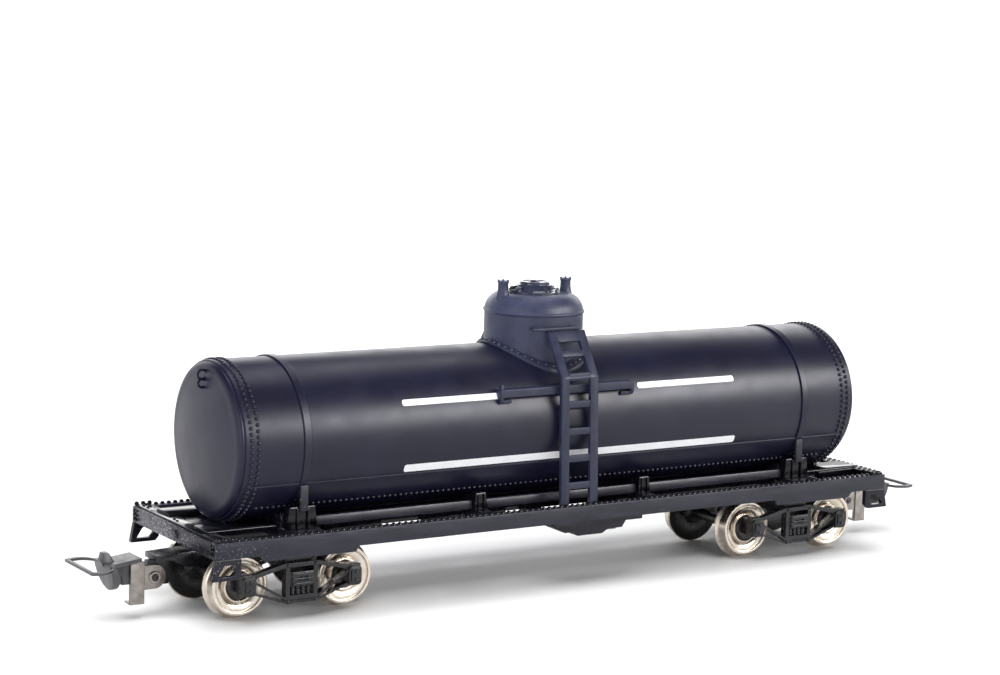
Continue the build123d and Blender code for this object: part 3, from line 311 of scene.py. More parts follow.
def finishPiece(obj, name, material, body, replaced=()):
    obj.name = name
    obj.data.name = name
    obj.data.materials.clear()
    obj.data.materials.append(material)
    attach(obj, body)
    if replaced:
        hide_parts(*replaced)


def joinAll(objects):
    startClean()
    for obj in objects:
        obj.select_set(True)
    bpy.context.view_layer.objects.active = objects[0]
    bpy.ops.object.join()
    return bpy.context.object


def turned(profile, centre, along, steps, edge=0.0):
    # profile: (distance along the axis, radius) in mm, turned about the axis through centre
    axis = Vector(along)
    out = Vector((0, 0, 1)) if abs(axis.z) < 0.5 else Vector((1, 0, 0))  # square to the axis
    points = [(Vector(centre) + axis * d + out * r) * mm for d, r in profile]
    startClean()
    bpy.ops.mesh.primitive_plane_add(size=mm, location=(0, 0, 0))
    obj = bpy.context.object
    editAll()
    bpy.ops.mesh.merge(type="CENTER")
    bpy.ops.transform.translate(value=points[0])
    for a, b in zip(points, points[1:]):
        bpy.ops.mesh.extrude_region_move(TRANSFORM_OT_translate={"value": b - a})
    bpy.ops.mesh.select_all(action="SELECT")
    bpy.ops.mesh.spin(steps=steps, angle=math.tau, center=Vector(centre) * mm, axis=axis)
    bpy.ops.mesh.select_all(action="SELECT")
    bpy.ops.mesh.remove_doubles(threshold=weldReach)
    bpy.ops.mesh.normals_make_consistent(inside=False)
    bpy.ops.object.mode_set(mode="OBJECT")
    return roundEdges(obj, edge, angle=turnedAngle)


def dressed(nodeName, edge, angle=softAngle, clamp=False):  # a merged copy of a CAD node with eased edges
    obj = bpy.data.objects.new("copy", nodes[nodeName].data.copy())
    bpy.context.scene.collection.objects.link(obj)
    pickOnly(obj)
    editAll()
    bpy.ops.mesh.remove_doubles(threshold=weldReach)
    bpy.ops.object.mode_set(mode="OBJECT")
    return roundEdges(obj, edge, angle=angle, clamp=clamp)


def scatter(pattern, places):
    # copies of one small piece, each with its own mesh, joined at the given matrices
    copies = []
    for matrix in places:
        copy = bpy.data.objects.new("copy", pattern.data.copy())
        copy.data.transform(matrix)
        bpy.context.scene.collection.objects.link(copy)
        copies.append(copy)
    return joinAll(copies)


def facing(point, out):  # a matrix that puts +Z along out at a point given in mm
    turn = Vector(out).to_track_quat("Z", "Y").to_matrix().to_4x4()
    return Matrix.Translation(Vector(point) * mm) @ turn


def shifted(point):  # a matrix that only moves to a point given in mm
    return Matrix.Translation(Vector(point) * mm)


def around(count, shift=0.0):  # even angles round a circle, shifted by a share of one step
    return [math.tau * (k + shift) / count for k in range(count)]


def spaced(reach, step, shift=0.0):  # even places from -reach to reach; a shifted row has one less
    count = int(2 * reach / step) + (0 if shift else 1)
    return [-reach + (k + shift) * step for k in range(count)]


rivetForm = {"inset": 0.45, "rise": 0.42, "smooth": 70}  # shares of the radius and height, degrees


def smallHead(radius, height, sides):
    # a round head on +Z: a short cylinder whose top is inset and drawn up
    startClean()
    bpy.ops.mesh.primitive_cylinder_add(vertices=sides, radius=radius * mm, depth=height * mm)
    obj = bpy.context.object
    editTop(obj)
    bpy.ops.mesh.inset(thickness=radius * rivetForm["inset"] * mm)
    bpy.ops.transform.translate(value=(0, 0, height * rivetForm["rise"] * mm))
    bpy.ops.object.mode_set(mode="OBJECT")
    bpy.ops.object.shade_smooth_by_angle(angle=math.radians(rivetForm["smooth"]))
    return obj


def block(low, high, edge, topShare=None, segments=2):
    # a block between two corners in mm with eased edges, its top drawn in to a share of its size if given
    startClean()
    middle = [(a + b) / 2 * mm for a, b in zip(low, high)]
    bpy.ops.mesh.primitive_cube_add(size=mm, location=middle)
    obj = bpy.context.object
    obj.scale = [b - a for a, b in zip(low, high)]
    setPlace(obj)
    if topShare:
        editTop(obj)
        bpy.ops.transform.resize(
            value=(topShare[0], topShare[1], 1), center_override=(middle[0], middle[1], high[2] * mm))
        bpy.ops.object.mode_set(mode="OBJECT")
    return roundEdges(obj, edge, segments=segments)


# Tank shell: a plain drum, two lower sheets lapped over it, two hold-down bands.
tank = {
    "radius": 13.95, "middle": 29.95, "half": 66.1, "sides": 224, "edge": 0.18, "edgeSteps": 3,
    "sheetHalf": 65.4, "lap": 23.75, "lapSheet": 0.2, "lapEdge": 0.17, "lapSteps": 1,
    "seam": 19.95, "sheet": 0.24, "sheetEdge": 0.03, "sheetSteps": 2,
    "bandAt": 54.3, "bandWide": 1.5, "bandHigh": 0.3, "bandSunk": 0.3, "bandWall": 0.7, "bandChamfer": 0.12,
}


def drum(radius, half):  # a closed cylinder along the car, in the middle of the tank
    startClean()
    bpy.ops.mesh.primitive_cylinder_add(
        vertices=tank["sides"], radius=radius * mm, depth=2 * half * mm,
        location=(0, 0, tank["middle"] * mm), rotation=(0, math.pi / 2, 0),
    )
    return setPlace(bpy.context.object)


def lappedSheet(thick, seam, edge, segments):  # a drum round the tank's, all above its seam cut off
    sheet = drum(tank["radius"] + thick, tank["sheetHalf"])
    editAll()
    bpy.ops.mesh.bisect(
        plane_co=(0, 0, seam * mm), plane_no=upward, use_fill=True, clear_outer=True, threshold=cutReach)
    bpy.ops.object.mode_set(mode="OBJECT")
    return roundEdges(sheet, edge, segments=segments)


shellParts = [
    roundEdges(drum(tank["radius"], tank["half"]), tank["edge"], segments=tank["edgeSteps"]),
    lappedSheet(tank["lapSheet"], tank["lap"], tank["lapEdge"], tank["lapSteps"]),
    lappedSheet(tank["sheet"], tank["seam"], tank["sheetEdge"], tank["sheetSteps"]),
]
half = tank["bandWide"] / 2
flat = half - tank["bandChamfer"]
inner, outer = tank["radius"] - tank["bandSunk"], tank["radius"] + tank["bandHigh"]
wall = tank["radius"] + tank["bandHigh"] * tank["bandWall"]
bandProfile = (
    (-half, inner), (-half, wall), (-flat, outer), (flat, outer), (half, wall), (half, inner),
    (-half, inner),
)
for side in bothSides:
    bandCentre = (side * tank["bandAt"], 0, tank["middle"])
    shellParts.append(turned(bandProfile, bandCentre, (1, 0, 0), steps=tank["sides"]))
finishPiece(joinAll(shellParts), "tankShell", tankPaint, "car", ["tank_barrel"])

# Rivets of the tank: two staggered rows round each head, one row along each lower seam.
tankRivets = {
    "radius": 0.36, "high": 0.34, "sides": 8, "rows": (65.0, 63.7), "turns": 84,
    "seamAt": 19.45, "seamReach": 61.9, "seamStep": 1.1,
}


def onShell(x, turn):  # the place and direction of a rivet at an angle round the tank
    z = tank["middle"] + tank["radius"] * math.sin(turn)
    sheet = tank["sheet"] if z < tank["seam"] else tank["lapSheet"] if z < tank["lap"] else 0
    out = Vector((0, math.cos(turn), math.sin(turn)))
    return facing(Vector((x, 0, tank["middle"])) + out * (tank["radius"] + sheet), out)


rivet = smallHead(tankRivets["radius"], tankRivets["high"], tankRivets["sides"])
places = []
for side in bothSides:
    for row, x in enumerate(tankRivets["rows"]):  # the second row is turned by half a step
        places += [onShell(side * x, turn) for turn in around(tankRivets["turns"], row / 2)]
seamTurn = math.asin((tankRivets["seamAt"] - tank["middle"]) / tank["radius"])
for turn in (seamTurn, math.pi - seamTurn):
    places += [onShell(x, turn) for x in spaced(tankRivets["seamReach"], tankRivets["seamStep"])]
finishPiece(scatter(rivet, places), "tankRivets", tankPaint, "car")
bpy.data.objects.remove(rivet)

# Tank heads: a set-back ring, a rounded knuckle and a shallow dish, with a small double staple.
head = {
    "sunk": 0.5, "ringStep": 0.35, "ringLong": 0.35, "lip": 0.05, "steps": 160,
    "knuckle": 1.65, "knuckleSteps": 8, "knucklePower": 1.4, "deep": 0.7, "bulge": 1.0, "dishSteps": 12,
}
staple = {  # loops: (rise, radius), the second one hangs below the first
    "loops": ((2.05, 0.85), (0.55, 0.75)), "wire": 0.25, "up": 9.5, "sunk": 0.35, "turns": 28, "sides": 10,
}
ringX, ringR = tank["half"] + head["ringLong"], tank["radius"] - head["ringStep"]
sunkX, dishR = tank["half"] - head["sunk"], ringR - head["knuckle"]
headProfile = [(sunkX, 0), (sunkX, ringR), (ringX - head["lip"], ringR)]
for k in range(1, head["knuckleSteps"] + 1):
    turn = math.radians(90 * k / head["knuckleSteps"])
    rise = head["deep"] * math.sin(turn) ** head["knucklePower"]
    headProfile.append((ringX + rise, ringR - head["knuckle"] * (1 - math.cos(turn))))
for k in range(1, head["dishSteps"] + 1):
    r = dishR * (1 - k / head["dishSteps"])
    headProfile.append((ringX + head["deep"] + head["bulge"] * (1 - (r / dishR) ** 2), r))
stapleX = ringX + head["deep"] + head["bulge"] - staple["sunk"]
for sideName, side in sideNames:
    headPiece = turned(headProfile, (0, 0, tank["middle"]), (side, 0, 0), steps=head["steps"])
    finishPiece(
        headPiece, "tankHead_" + sideName, tankPaint, "car", ["tank_head_" + sideName])
    loops = []
    for rise, radius in staple["loops"]:
        startClean()
        bpy.ops.mesh.primitive_torus_add(
            major_radius=radius * mm, minor_radius=staple["wire"] * mm, location=(0, 0, 0),
            major_segments=staple["turns"], minor_segments=staple["sides"], rotation=(math.pi / 2, 0, 0),
        )
        loop = setPlace(bpy.context.object)
        loop.data.transform(shifted((side * stapleX, 0, tank["middle"] + staple["up"] + rise)))
        loops.append(roundEdges(loop, 0))
    finishPiece(joinAll(loops), "headStaple_" + sideName, tankPaint, "car")

# White stripes: thin flat strips with rounded corners, on both sides of the tank.
stripes = {
    "proud": 0.02, "thick": 0.05, "corner": 0.42, "cornerSteps": 4,
    "rows": (  # the lower and upper angle in degrees, the start and end in mm
        (24.7, 29.5, -35.1, -15.2),
        (24.7, 29.5, 15.3, 37.7),
        (-24.9, -18.9, -34.7, 38.1),
    ),
}
strips = []
for face in bothSides:
    for low, high, start, stop in stripes["rows"]:
        startClean()
        bpy.ops.mesh.primitive_plane_add(size=mm)
        strip = bpy.context.object
        strip.scale = (stop - start, tank["radius"] * math.radians(high - low), 1)
        setPlace(strip)
        editAll()
        bpy.ops.mesh.bevel(
            offset=stripes["corner"] * mm, segments=stripes["cornerSteps"], affect="VERTICES")
        bpy.ops.mesh.select_all(action="SELECT")
        bpy.ops.mesh.extrude_region_move(
            TRANSFORM_OT_translate={"value": (0, 0, stripes["thick"] * mm)})
        bpy.ops.mesh.select_all(action="SELECT")
        bpy.ops.mesh.normals_make_consistent(inside=False)
        bpy.ops.object.mode_set(mode="OBJECT")
        turn = math.radians((low + high) / 2)
        out = Vector((0, face * math.cos(turn), math.sin(turn)))
        at = Vector(((start + stop) / 2, 0, tank["middle"])) + out * (tank["radius"] + stripes["proud"])
        strip.data.transform(facing(at, out))
        strips.append(roundEdges(strip, 0))
finishPiece(joinAll(strips), "tankStripes", whiteInk, "car")
print("tank made")

# Expansion dome: a drum with a bead at its shoulder and a rounded cap, on a riveted flange.
dome = {
    "radius": 9.2, "low": 40.0, "shoulder": 49.7, "cap": 3.25, "flat": 6.2, "steps": 144,
    "bead": 0.22, "beadTall": 0.7, "beadSteps": 8, "roundAt": (5.9, 49.66), "round": 3.3, "roundSteps": 14,
    "flangeThick": 0.45, "flangeEdge": 0.12,
}
domeTop, beadHalf = dome["shoulder"] + dome["cap"], dome["beadTall"] / 2
roundR, roundZ = dome["roundAt"]
domeProfile = [(dome["low"], 0), (dome["low"], dome["radius"])]
for k in range(dome["beadSteps"] + 1):
    turn = math.radians(180 * k / dome["beadSteps"])
    bulge = dome["bead"] * math.sin(turn) ** 2
    domeProfile.append((dome["shoulder"] - beadHalf * math.cos(turn), dome["radius"] + bulge))
start = math.asin((dome["shoulder"] + beadHalf - roundZ) / dome["round"])
stop = math.acos((dome["flat"] - roundR) / dome["round"])
for k in range(1, dome["roundSteps"]):
    turn = start + (stop - start) * k / dome["roundSteps"]
    domeProfile.append((roundZ + dome["round"] * math.sin(turn), roundR + dome["round"] * math.cos(turn)))
domeProfile += [(domeTop, dome["flat"]), (domeTop, 0)]
domePiece = turned(domeProfile, (0, 0, 0), upward, steps=dome["steps"])
finishPiece(domePiece, "domeShell", domePlastic, "car", ["expansion_dome"])
flangePiece = dressed("dome_flange", dome["flangeEdge"])
finishPiece(flangePiece, "domeFlange", ladderPlastic, "car", ["dome_flange"])

flangeRivets = {"radius": 0.34, "high": 0.34, "sides": 8, "at": 9.95, "count": 48}
rivet = smallHead(flangeRivets["radius"], flangeRivets["high"], flangeRivets["sides"])
reach = tank["radius"] + dome["flangeThick"]
places = []
for turn in around(flangeRivets["count"], 0.5):
    x, y = flangeRivets["at"] * math.cos(turn), flangeRivets["at"] * math.sin(turn)
    out = Vector((0, y, math.sqrt(reach ** 2 - y ** 2))).normalized()
    places.append(facing(Vector((x, 0, tank["middle"])) + out * reach, out))
finishPiece(scatter(rivet, places), "flangeRivets", hatchPlastic, "car")
bpy.data.objects.remove(rivet)

# The hatch is glossier than the dome: a bolted base ring, a cone, a lid with a raised rim and a knob.
hatch = {
    "profile": (
        (-0.2, 0), (-0.2, 4.9), (0.25, 4.9), (0.35, 4.78), (0.35, 4.15), (0.5, 3.95), (0.6, 3.6),
        (1.5, 3.25), (1.52, 2.8), (1.86, 2.8), (2.05, 2.62), (2.05, 2.3), (1.93, 2.2), (1.93, 1.2),
        (2.05, 1.1), (2.05, 0.8), (2.3, 0.75), (2.3, 0),
    ),
    "steps": 72, "edge": 0.05, "hingeEdge": 0.06,
    "bolts": 10, "boltAt": 4.45, "boltZ": 0.45, "boltR": 0.3, "boltHigh": 0.4, "boltSides": 6,
}
hatchPiece = turned(hatch["profile"], (0, 0, domeTop), upward, steps=hatch["steps"], edge=hatch["edge"])
bolt = smallHead(hatch["boltR"], hatch["boltHigh"], hatch["boltSides"])
places = []
for turn in around(hatch["bolts"], 0.5):
    x, y = hatch["boltAt"] * math.cos(turn), hatch["boltAt"] * math.sin(turn)
    places.append(facing((x, y, domeTop + hatch["boltZ"]), upward))
boltRing = scatter(bolt, places)
bpy.data.objects.remove(bolt)
hatchPiece = joinAll([hatchPiece, boltRing])
finishPiece(hatchPiece, "manholeCover", hatchPlastic, "car", ["manhole_cover"])
hingePiece = dressed("manhole_hinge", hatch["hingeEdge"])
finishPiece(hingePiece, "manholeHinge", hatchPlastic, "car", ["manhole_hinge"])

# Safety valves: a waisted body, a rim with a hollow, and four lugs that stand on the rim.
valve = {
    "at": 6.9, "steps": 36, "edge": 0.03,
    "profile": (
        (-1.7, 0), (-1.7, 1.45), (-0.9, 1.45), (-0.5, 1.3), (0.2, 1.08), (0.9, 0.98), (1.95, 0.96),
        (2.0, 1.05), (2.3, 1.05), (2.36, 0.98), (2.36, 0.62), (2.2, 0.55), (2.2, 0.36), (2.42, 0.3),
        (2.42, 0),
    ),
    "lugs": 4, "lugTurn": 58, "lugAt": 0.84, "lugZ": 2.2136, "lugR": 0.24, "lugHigh": 0.42, "lugSides": 6,
}
lug = smallHead(valve["lugR"], valve["lugHigh"], valve["lugSides"])
for sideName, side in sideNames:
    valveX = side * valve["at"]
    valvePiece = turned(
        valve["profile"], (valveX, 0, domeTop), upward, steps=valve["steps"], edge=valve["edge"])
    places = []
    for step in around(valve["lugs"]):
        turn = math.radians(valve["lugTurn"]) + step
        x, y = valveX + valve["lugAt"] * math.cos(turn), valve["lugAt"] * math.sin(turn)
        places.append(facing((x, y, domeTop + valve["lugZ"]), upward))
    valvePiece = joinAll([valvePiece, scatter(lug, places)])
    finishPiece(
        valvePiece, "safetyValve_" + sideName, domePlastic, "car",
        ["safety_valve_" + sideName],
    )
bpy.data.objects.remove(lug)
print("dome made")

# Underframe, ladders, platforms and brake gear keep their CAD forms, with eased edges.
eased = (  # the edge in mm, the least angle that counts as an edge, the plastic and the nodes
    (0.1, softAngle, framePlastic, ("centre_sill", "centre_sill_end_left", "centre_sill_end_right")),
    # the side sills take the styrene whose lighter grey is painted light
    (0.12, softAngle, sillPlastic, ("side_sill_near", "side_sill_far")),
    (0.12, softAngle, framePlastic, ("end_sill_left", "end_sill_right")),
    (0.1, softAngle, framePlastic, ("bolster_left", "bolster_right")),
    (0.1, softAngle, framePlastic, ("cross_bearer_left", "cross_bearer_right")),
    (0.1, softAngle, glossStyrene, ("cradle_board_near", "cradle_board_far")),
    (0.06, softAngle, glossStyrene, ("end_board_left", "end_board_right")),
    (0.14, softAngle, framePlastic, ("step_left_near", "step_left_far")),
    (0.14, softAngle, framePlastic, ("step_right_near", "step_right_far")),
    (0.12, 50, framePlastic, ("brake_gear",)),
    (0.06, softAngle, ladderPlastic, ("ladder_near", "ladder_far")),
    (0.1, softAngle, ladderPlastic, ("side_platform_near", "side_platform_far")),
    (0.12, softAngle, ladderPlastic, ("dome_handrail_near", "dome_handrail_far")),
)
for edge, angle, plastic, nodeNames in eased:
    for nodeName in nodeNames:
        piece = dressed(nodeName, edge, angle=angle)
        finishPiece(piece, "eased_" + nodeName, plastic, "car", [nodeName])

# Rivets of the frame: a row on each side sill, three rows on the right end board, a few on the left one,
# and a cluster at each corner of both end sills.
frameRivets = {
    "radius": 0.27, "high": 0.26, "sides": 8,
    "sillAt": 16.52, "sillTop": 15.65, "sillReach": 72.4, "sillStep": 1.25,
    "sillR": 0.4, "sillHigh": 0.46, "sillSides": 10,
    "boardTop": 16.0, "boardX": (69.8, 72.8), "boardRows": (72.3, 71.5, 70.7), "boardReach": 15.9,
    "boardStep": 1.36, "boardR": 0.36,
    "leftBoard": ((-71.0, 15.5), (-71.9, 14.6), (-71.0, 13.7), (-71.9, 12.8), (-71.7, 2.2), (-71.9, 0.6)),
    "endFace": 73.0, "endY": (16.1, 15.2), "endZ": (13.4, 14.2, 15.0),
}
sillPlaces, boardPlaces = [], []
for face in bothSides:
    for x in spaced(frameRivets["sillReach"], frameRivets["sillStep"]):
        onBoard = frameRivets["boardX"][0] < abs(x) < frameRivets["boardX"][1]
        z = frameRivets["boardTop"] if onBoard else frameRivets["sillTop"]
        sillPlaces.append(facing((x, face * frameRivets["sillAt"], z), upward))
for row, x in enumerate(frameRivets["boardRows"]):  # the middle row is shifted by half a step
    for y in spaced(frameRivets["boardReach"], frameRivets["boardStep"], row % 2 / 2):
        boardPlaces.append(facing((x, y, frameRivets["boardTop"]), upward))
places = [facing((x, y, frameRivets["boardTop"]), upward) for x, y in frameRivets["leftBoard"]]
for side in bothSides:
    for face in bothSides:
        for y in frameRivets["endY"]:
            for z in frameRivets["endZ"]:
                places.append(facing((side * frameRivets["endFace"], face * y, z), (side, 0, 0)))
rivet = smallHead(frameRivets["radius"], frameRivets["high"], frameRivets["sides"])
boardHead = smallHead(frameRivets["boardR"], frameRivets["high"], frameRivets["sides"])
sillHead = smallHead(frameRivets["sillR"], frameRivets["sillHigh"], frameRivets["sillSides"])
heads = joinAll([scatter(rivet, places), scatter(boardHead, boardPlaces), scatter(sillHead, sillPlaces)])
finishPiece(heads, "frameRivets", glossStyrene, "car")
for pattern in (rivet, boardHead, sillHead):
    bpy.data.objects.remove(pattern)

# Deck plates: they widen the narrow middle of each end board to its full width.
deck = {"x": (69.95, 72.65), "half": 10.6, "z": (15.72, 16.02), "edge": 0.06}
plates = []
for side in bothSides:
    xs = sorted(side * x for x in deck["x"])
    plates.append(block(
        (xs[0], -deck["half"], deck["z"][0]), (xs[1], deck["half"], deck["z"][1]), deck["edge"]))
finishPiece(joinAll(plates), "deckPlates", glossStyrene, "car")

# Laths under the cradle boards: they close the slot beside each side sill but for a few short gaps.
lath = {
    "y": (10.2, 10.8), "z": (14.2, 15.95), "edge": 0.12,
    "runs": ((-49.5, -37.8), (-29.6, -21.3), (-17.4, -11.8), (-8.4, -4.0), (6.0, 49.5), (61.3, 70.5)),
}
laths = []
for face in bothSides:
    ys = sorted(face * y for y in lath["y"])
    for start, stop in lath["runs"]:
        laths.append(block((start, ys[0], lath["z"][0]), (stop, ys[1], lath["z"][1]), lath["edge"]))
finishPiece(joinAll(laths), "cradleLaths", glossStyrene, "car")

# Saddle posts with two fins and an upright strap, bracket posts with two ribs, and the boards between them.
post = {  # top: how much of its length and depth the top face keeps
    "at": {"saddle": 54.3, "bracket": 18.0, "fin": 1.05, "rib": 0.62},
    "half": {"saddle": 3.0, "bracket": 1.45, "fin": 0.26, "rib": 0.2, "strap": 0.75},
    "saddle": {"y": (10.1, 12.3), "z": (15.6, 19.5), "top": (0.84, 0.9), "edge": 0.2},
    "fin": {"y": (12.1, 12.75), "z": (15.7, 19.2), "top": (0.8, 0.5), "edge": 0.08},
    "strap": {"y": (12.25, 12.95), "z": (18.8, 23.3), "top": (1.0, 0.8), "edge": 0.12},
    "bracket": {"y": (10.1, 12.2), "z": (15.6, 18.8), "top": (0.76, 0.85), "edge": 0.2},
    "rib": {"y": (12.0, 12.5), "z": (15.7, 18.6), "top": (0.8, 0.5), "edge": 0.08},
    "board": {"y": (10.1, 11.55), "z": (15.8, 17.4), "top": (1.0, 0.7), "edge": 0.16},
    "runs": ((-51.2, -19.4), (-16.6, 16.6), (19.4, 51.2)),
}


def postBlock(kind, start, stop, face):  # a block between two places along the car
    sizes = post[kind]
    ys = sorted(face * y for y in sizes["y"])
    low, high = (start, ys[0], sizes["z"][0]), (stop, ys[1], sizes["z"][1])
    return block(low, high, sizes["edge"], topShare=sizes["top"])


def postPart(kind, x, face):  # a block of a post, in the middle of its place along the car
    return postBlock(kind, x - post["half"][kind], x + post["half"][kind], face)


posts, straps, boards = [], [], []
for face in bothSides:
    for side in bothSides:
        for big, small in (("saddle", "fin"), ("bracket", "rib")):
            x = side * post["at"][big]
            posts.append(postPart(big, x, face))
            posts += [postPart(small, x + turn * post["at"][small], face) for turn in bothSides]
        straps.append(postPart("strap", side * post["at"]["saddle"], face))
    boards += [postBlock("board", start, stop, face) for start, stop in post["runs"]]
finishPiece(joinAll(posts), "deckPosts", glossStyrene, "car")
# Strap ends and deck boards take the styrene whose lighter grey is painted light.
finishPiece(joinAll(straps), "strapEnds", sillPlastic, "car")
finishPiece(joinAll(boards), "deckBoards", sillPlastic, "car")
print("underframe made")

# Bogies: eased CAD mouldings, wound springs, nuts on the columns, lid bolts and a ribbed beam end.
bogie = {
    "at": 54.7, "edge": 0.05,
    "coils": 4, "coilStep": 1.02, "coilY": 12.45, "coilLow": 3.8, "coilHigh": 5.8, "rings": 4, "slope": 12,
    "coilR": 0.38, "coilSides": 14, "wire": 0.19, "wireSides": 6,
    "nutR": 0.34, "nutHigh": 0.3, "nutSides": 6, "nutX": 2.7, "nutsZ": (3.15, 9.6), "nutY": 13.2,
    "lidBoltX": 10.25, "lidBoltsZ": (7.5, 5.9), "lidY": 14.0,
    "ribLong": 3.9, "ribDeep": 0.5, "ribHigh": 0.26, "ribEdge": 0.08,
    "ribY": 13.5, "ribsZ": (6.35, 7.2, 8.05),
}
startClean()
bpy.ops.mesh.primitive_torus_add(
    major_radius=bogie["coilR"] * mm, minor_radius=bogie["wire"] * mm,
    major_segments=bogie["coilSides"], minor_segments=bogie["wireSides"],
)
ring = setPlace(bpy.context.object)
ring.data.transform(Matrix.Rotation(math.radians(bogie["slope"]), 4, (0, 1, 0)))  # as a winding slopes
nut = smallHead(bogie["nutR"], bogie["nutHigh"], bogie["nutSides"])
ribHalf = [bogie["ribLong"] / 2, bogie["ribDeep"] / 2, bogie["ribHigh"] / 2]
rib = block([-v for v in ribHalf], ribHalf, bogie["ribEdge"])
for sideName, side in sideNames:
    body = "bogie_" + sideName
    bogieX = side * bogie["at"]
    for part in ("beam", "side_near", "side_far"):
        nodeName = body + "_" + part
        piece = dressed(nodeName, bogie["edge"], clamp=part != "beam")
        finishPiece(piece, "eased_" + nodeName, bogiePlastic, body, [nodeName])
    for faceName, face in faceNames:
        ringPlaces, nutPlaces = [], []
        for k in range(bogie["coils"]):
            x = bogieX + (k - (bogie["coils"] - 1) / 2) * bogie["coilStep"]
            for step in range(bogie["rings"]):
                z = bogie["coilLow"] + (bogie["coilHigh"] - bogie["coilLow"]) * step / (bogie["rings"] - 1)
                ringPlaces.append(shifted((x, face * bogie["coilY"], z)))
        for end in bothSides:
            nutX, lidX = bogieX + end * bogie["nutX"], bogieX + end * bogie["lidBoltX"]
            nutPlaces += [facing((nutX, face * bogie["nutY"], z), (0, face, 0)) for z in bogie["nutsZ"]]
            nutPlaces += [facing((lidX, face * bogie["lidY"], z), (0, face, 0)) for z in bogie["lidBoltsZ"]]
        springs = scatter(ring, ringPlaces)
        bpy.ops.object.shade_smooth()
        nuts = scatter(nut, nutPlaces)
        ribs = scatter(rib, [shifted((bogieX, face * bogie["ribY"], z)) for z in bogie["ribsZ"]])
        piece = joinAll([springs, nuts, ribs])
        name = "springsAndNuts_" + sideName + "_" + faceName
        finishPiece(piece, name, bogiePlastic, body)
for pattern in (ring, nut, rib):
    bpy.data.objects.remove(pattern)
print("bogies made")

# Wheelsets: turned tyres with stepped, dished discs; black axles with hubs and full backs.
wheel = {
    "axleZ": 6.0, "axleX": 10.25, "back": 7.2, "face": 10.0, "steps": 96, "edge": 0.025,
    "backPart": (  # (beyond the back, radius): hollow, flange and tread
        (0.3, 2.4), (0.3, 4.7), (0.12, 4.7), (0.12, 5.86), (0.2, 5.97), (0.32, 6.0), (0.46, 5.96),
        (0.62, 5.7), (0.8, 5.47), (1.02, 5.37),
    ),
    "facePart": (  # (beyond the face, radius): rim, step, dish and hub seat
        (-0.1, 5.23), (0, 5.12), (0, 4.7), (-0.08, 4.6), (-0.36, 4.55), (-0.38, 4.42), (-0.24, 4.34),
        (-0.26, 4.1), (-0.34, 3.75), (-0.47, 3.4), (-0.65, 3.1), (-0.8, 2.92), (-0.3, 2.88), (-0.27, 2.6),
        (-0.4, 2.4),
    ),
    "axleSteps": 64, "axleEdge": 0.03,
    "axleHalf": (  # (from the middle, radius): pin end, hub, back plate and axle
        (12.2, 0), (12.2, 0.42), (12.1, 0.5), (10.0, 0.5), (10.0, 1.9), (9.5, 2.4), (7.5, 2.4), (7.5, 4.7),
        (7.32, 4.7), (7.32, 5.72), (7.2, 5.8), (7.2, 2.6), (7.28, 2.4), (6.7, 1.1),
    ),
}
tyreProfile = [(wheel["back"] + d, r) for d, r in wheel["backPart"]]
tyreProfile += [(wheel["face"] + d, r) for d, r in wheel["facePart"]] + [tyreProfile[0]]
axleProfile = [(-y, r) for y, r in wheel["axleHalf"]] + list(reversed(wheel["axleHalf"]))
for sideName, side in sideNames:
    for endName, end in (("a", -1), ("b", 1)):
        place = sideName + "_" + endName
        body = "wheelset_" + place
        centre = (side * bogie["at"] + end * wheel["axleX"], 0, wheel["axleZ"])
        discs = [
            turned(tyreProfile, centre, (0, turn, 0), steps=wheel["steps"], edge=wheel["edge"])
            for turn in bothSides
        ]
        finishPiece(joinAll(discs), "tyres_" + place, nickelPlate, body, ["wheels_" + place])
        axle = turned(axleProfile, centre, (0, 1, 0), steps=wheel["axleSteps"], edge=wheel["axleEdge"])
        finishPiece(axle, "axle_" + place + "_turned", axlePlastic, body, ["axle_" + place])
print("wheelsets made")

# Couplers: stamped levers with a hollow rivet, a black disc in its hollow as painted shade, and a folded
# plate; moulded heads.
coupler = {
    "edge": 0.07, "rivetX": 77.0, "rivetZ": 7.1, "rivetY": 1.6, "ringSteps": 40,
    "ring": (
        (-0.05, 0.55), (-0.05, 1.12), (0.1, 1.12), (0.26, 0.98), (0.26, 0.7), (0.12, 0.55), (-0.05, 0.55),
    ),
    "holeShadeR": 0.6, "holeShadeHigh": 0.3, "holeShadeY": 1.62, "holeShadeSides": 24,
    "plateX": (78.95, 81.55), "plateY": (1.35, 1.69), "plateZ": (2.6, 10.0),
    "plateEdge": 0.13, "plateSteps": 3,
}
for sideName, side in sideNames:
    body = "coupler_" + sideName
    rivetX, rivetZ = side * coupler["rivetX"], coupler["rivetZ"]
    lever = dressed(body + "_lever", coupler["edge"])
    rimCentre = (rivetX, -coupler["rivetY"], rivetZ)
    rim = turned(coupler["ring"], rimCentre, (0, -1, 0), steps=coupler["ringSteps"])
    xs = sorted(side * x for x in coupler["plateX"])
    ys = sorted(-y for y in coupler["plateY"])
    low, high = (xs[0], ys[0], coupler["plateZ"][0]), (xs[1], ys[1], coupler["plateZ"][1])
    plate = block(low, high, coupler["plateEdge"], segments=coupler["plateSteps"])
    lever = joinAll([lever, rim, plate])
    finishPiece(lever, "eased_" + body + "_lever", stampedSteel, body, [body + "_lever"])
    # A black disc in the rivet's hollow: painted shade for the dark hole.
    holeShade = smallHead(coupler["holeShadeR"], coupler["holeShadeHigh"], coupler["holeShadeSides"])
    holeShade.data.transform(facing((rivetX, -coupler["holeShadeY"], rivetZ), (0, -1, 0)))
    finishPiece(holeShade, "rivetHoleShade_" + sideName, axlePlastic, body)
    hook = dressed(body + "_head", coupler["edge"])
    finishPiece(hook, "eased_" + body + "_head", couplerPlastic, body, [body + "_head"])
print("couplers made")

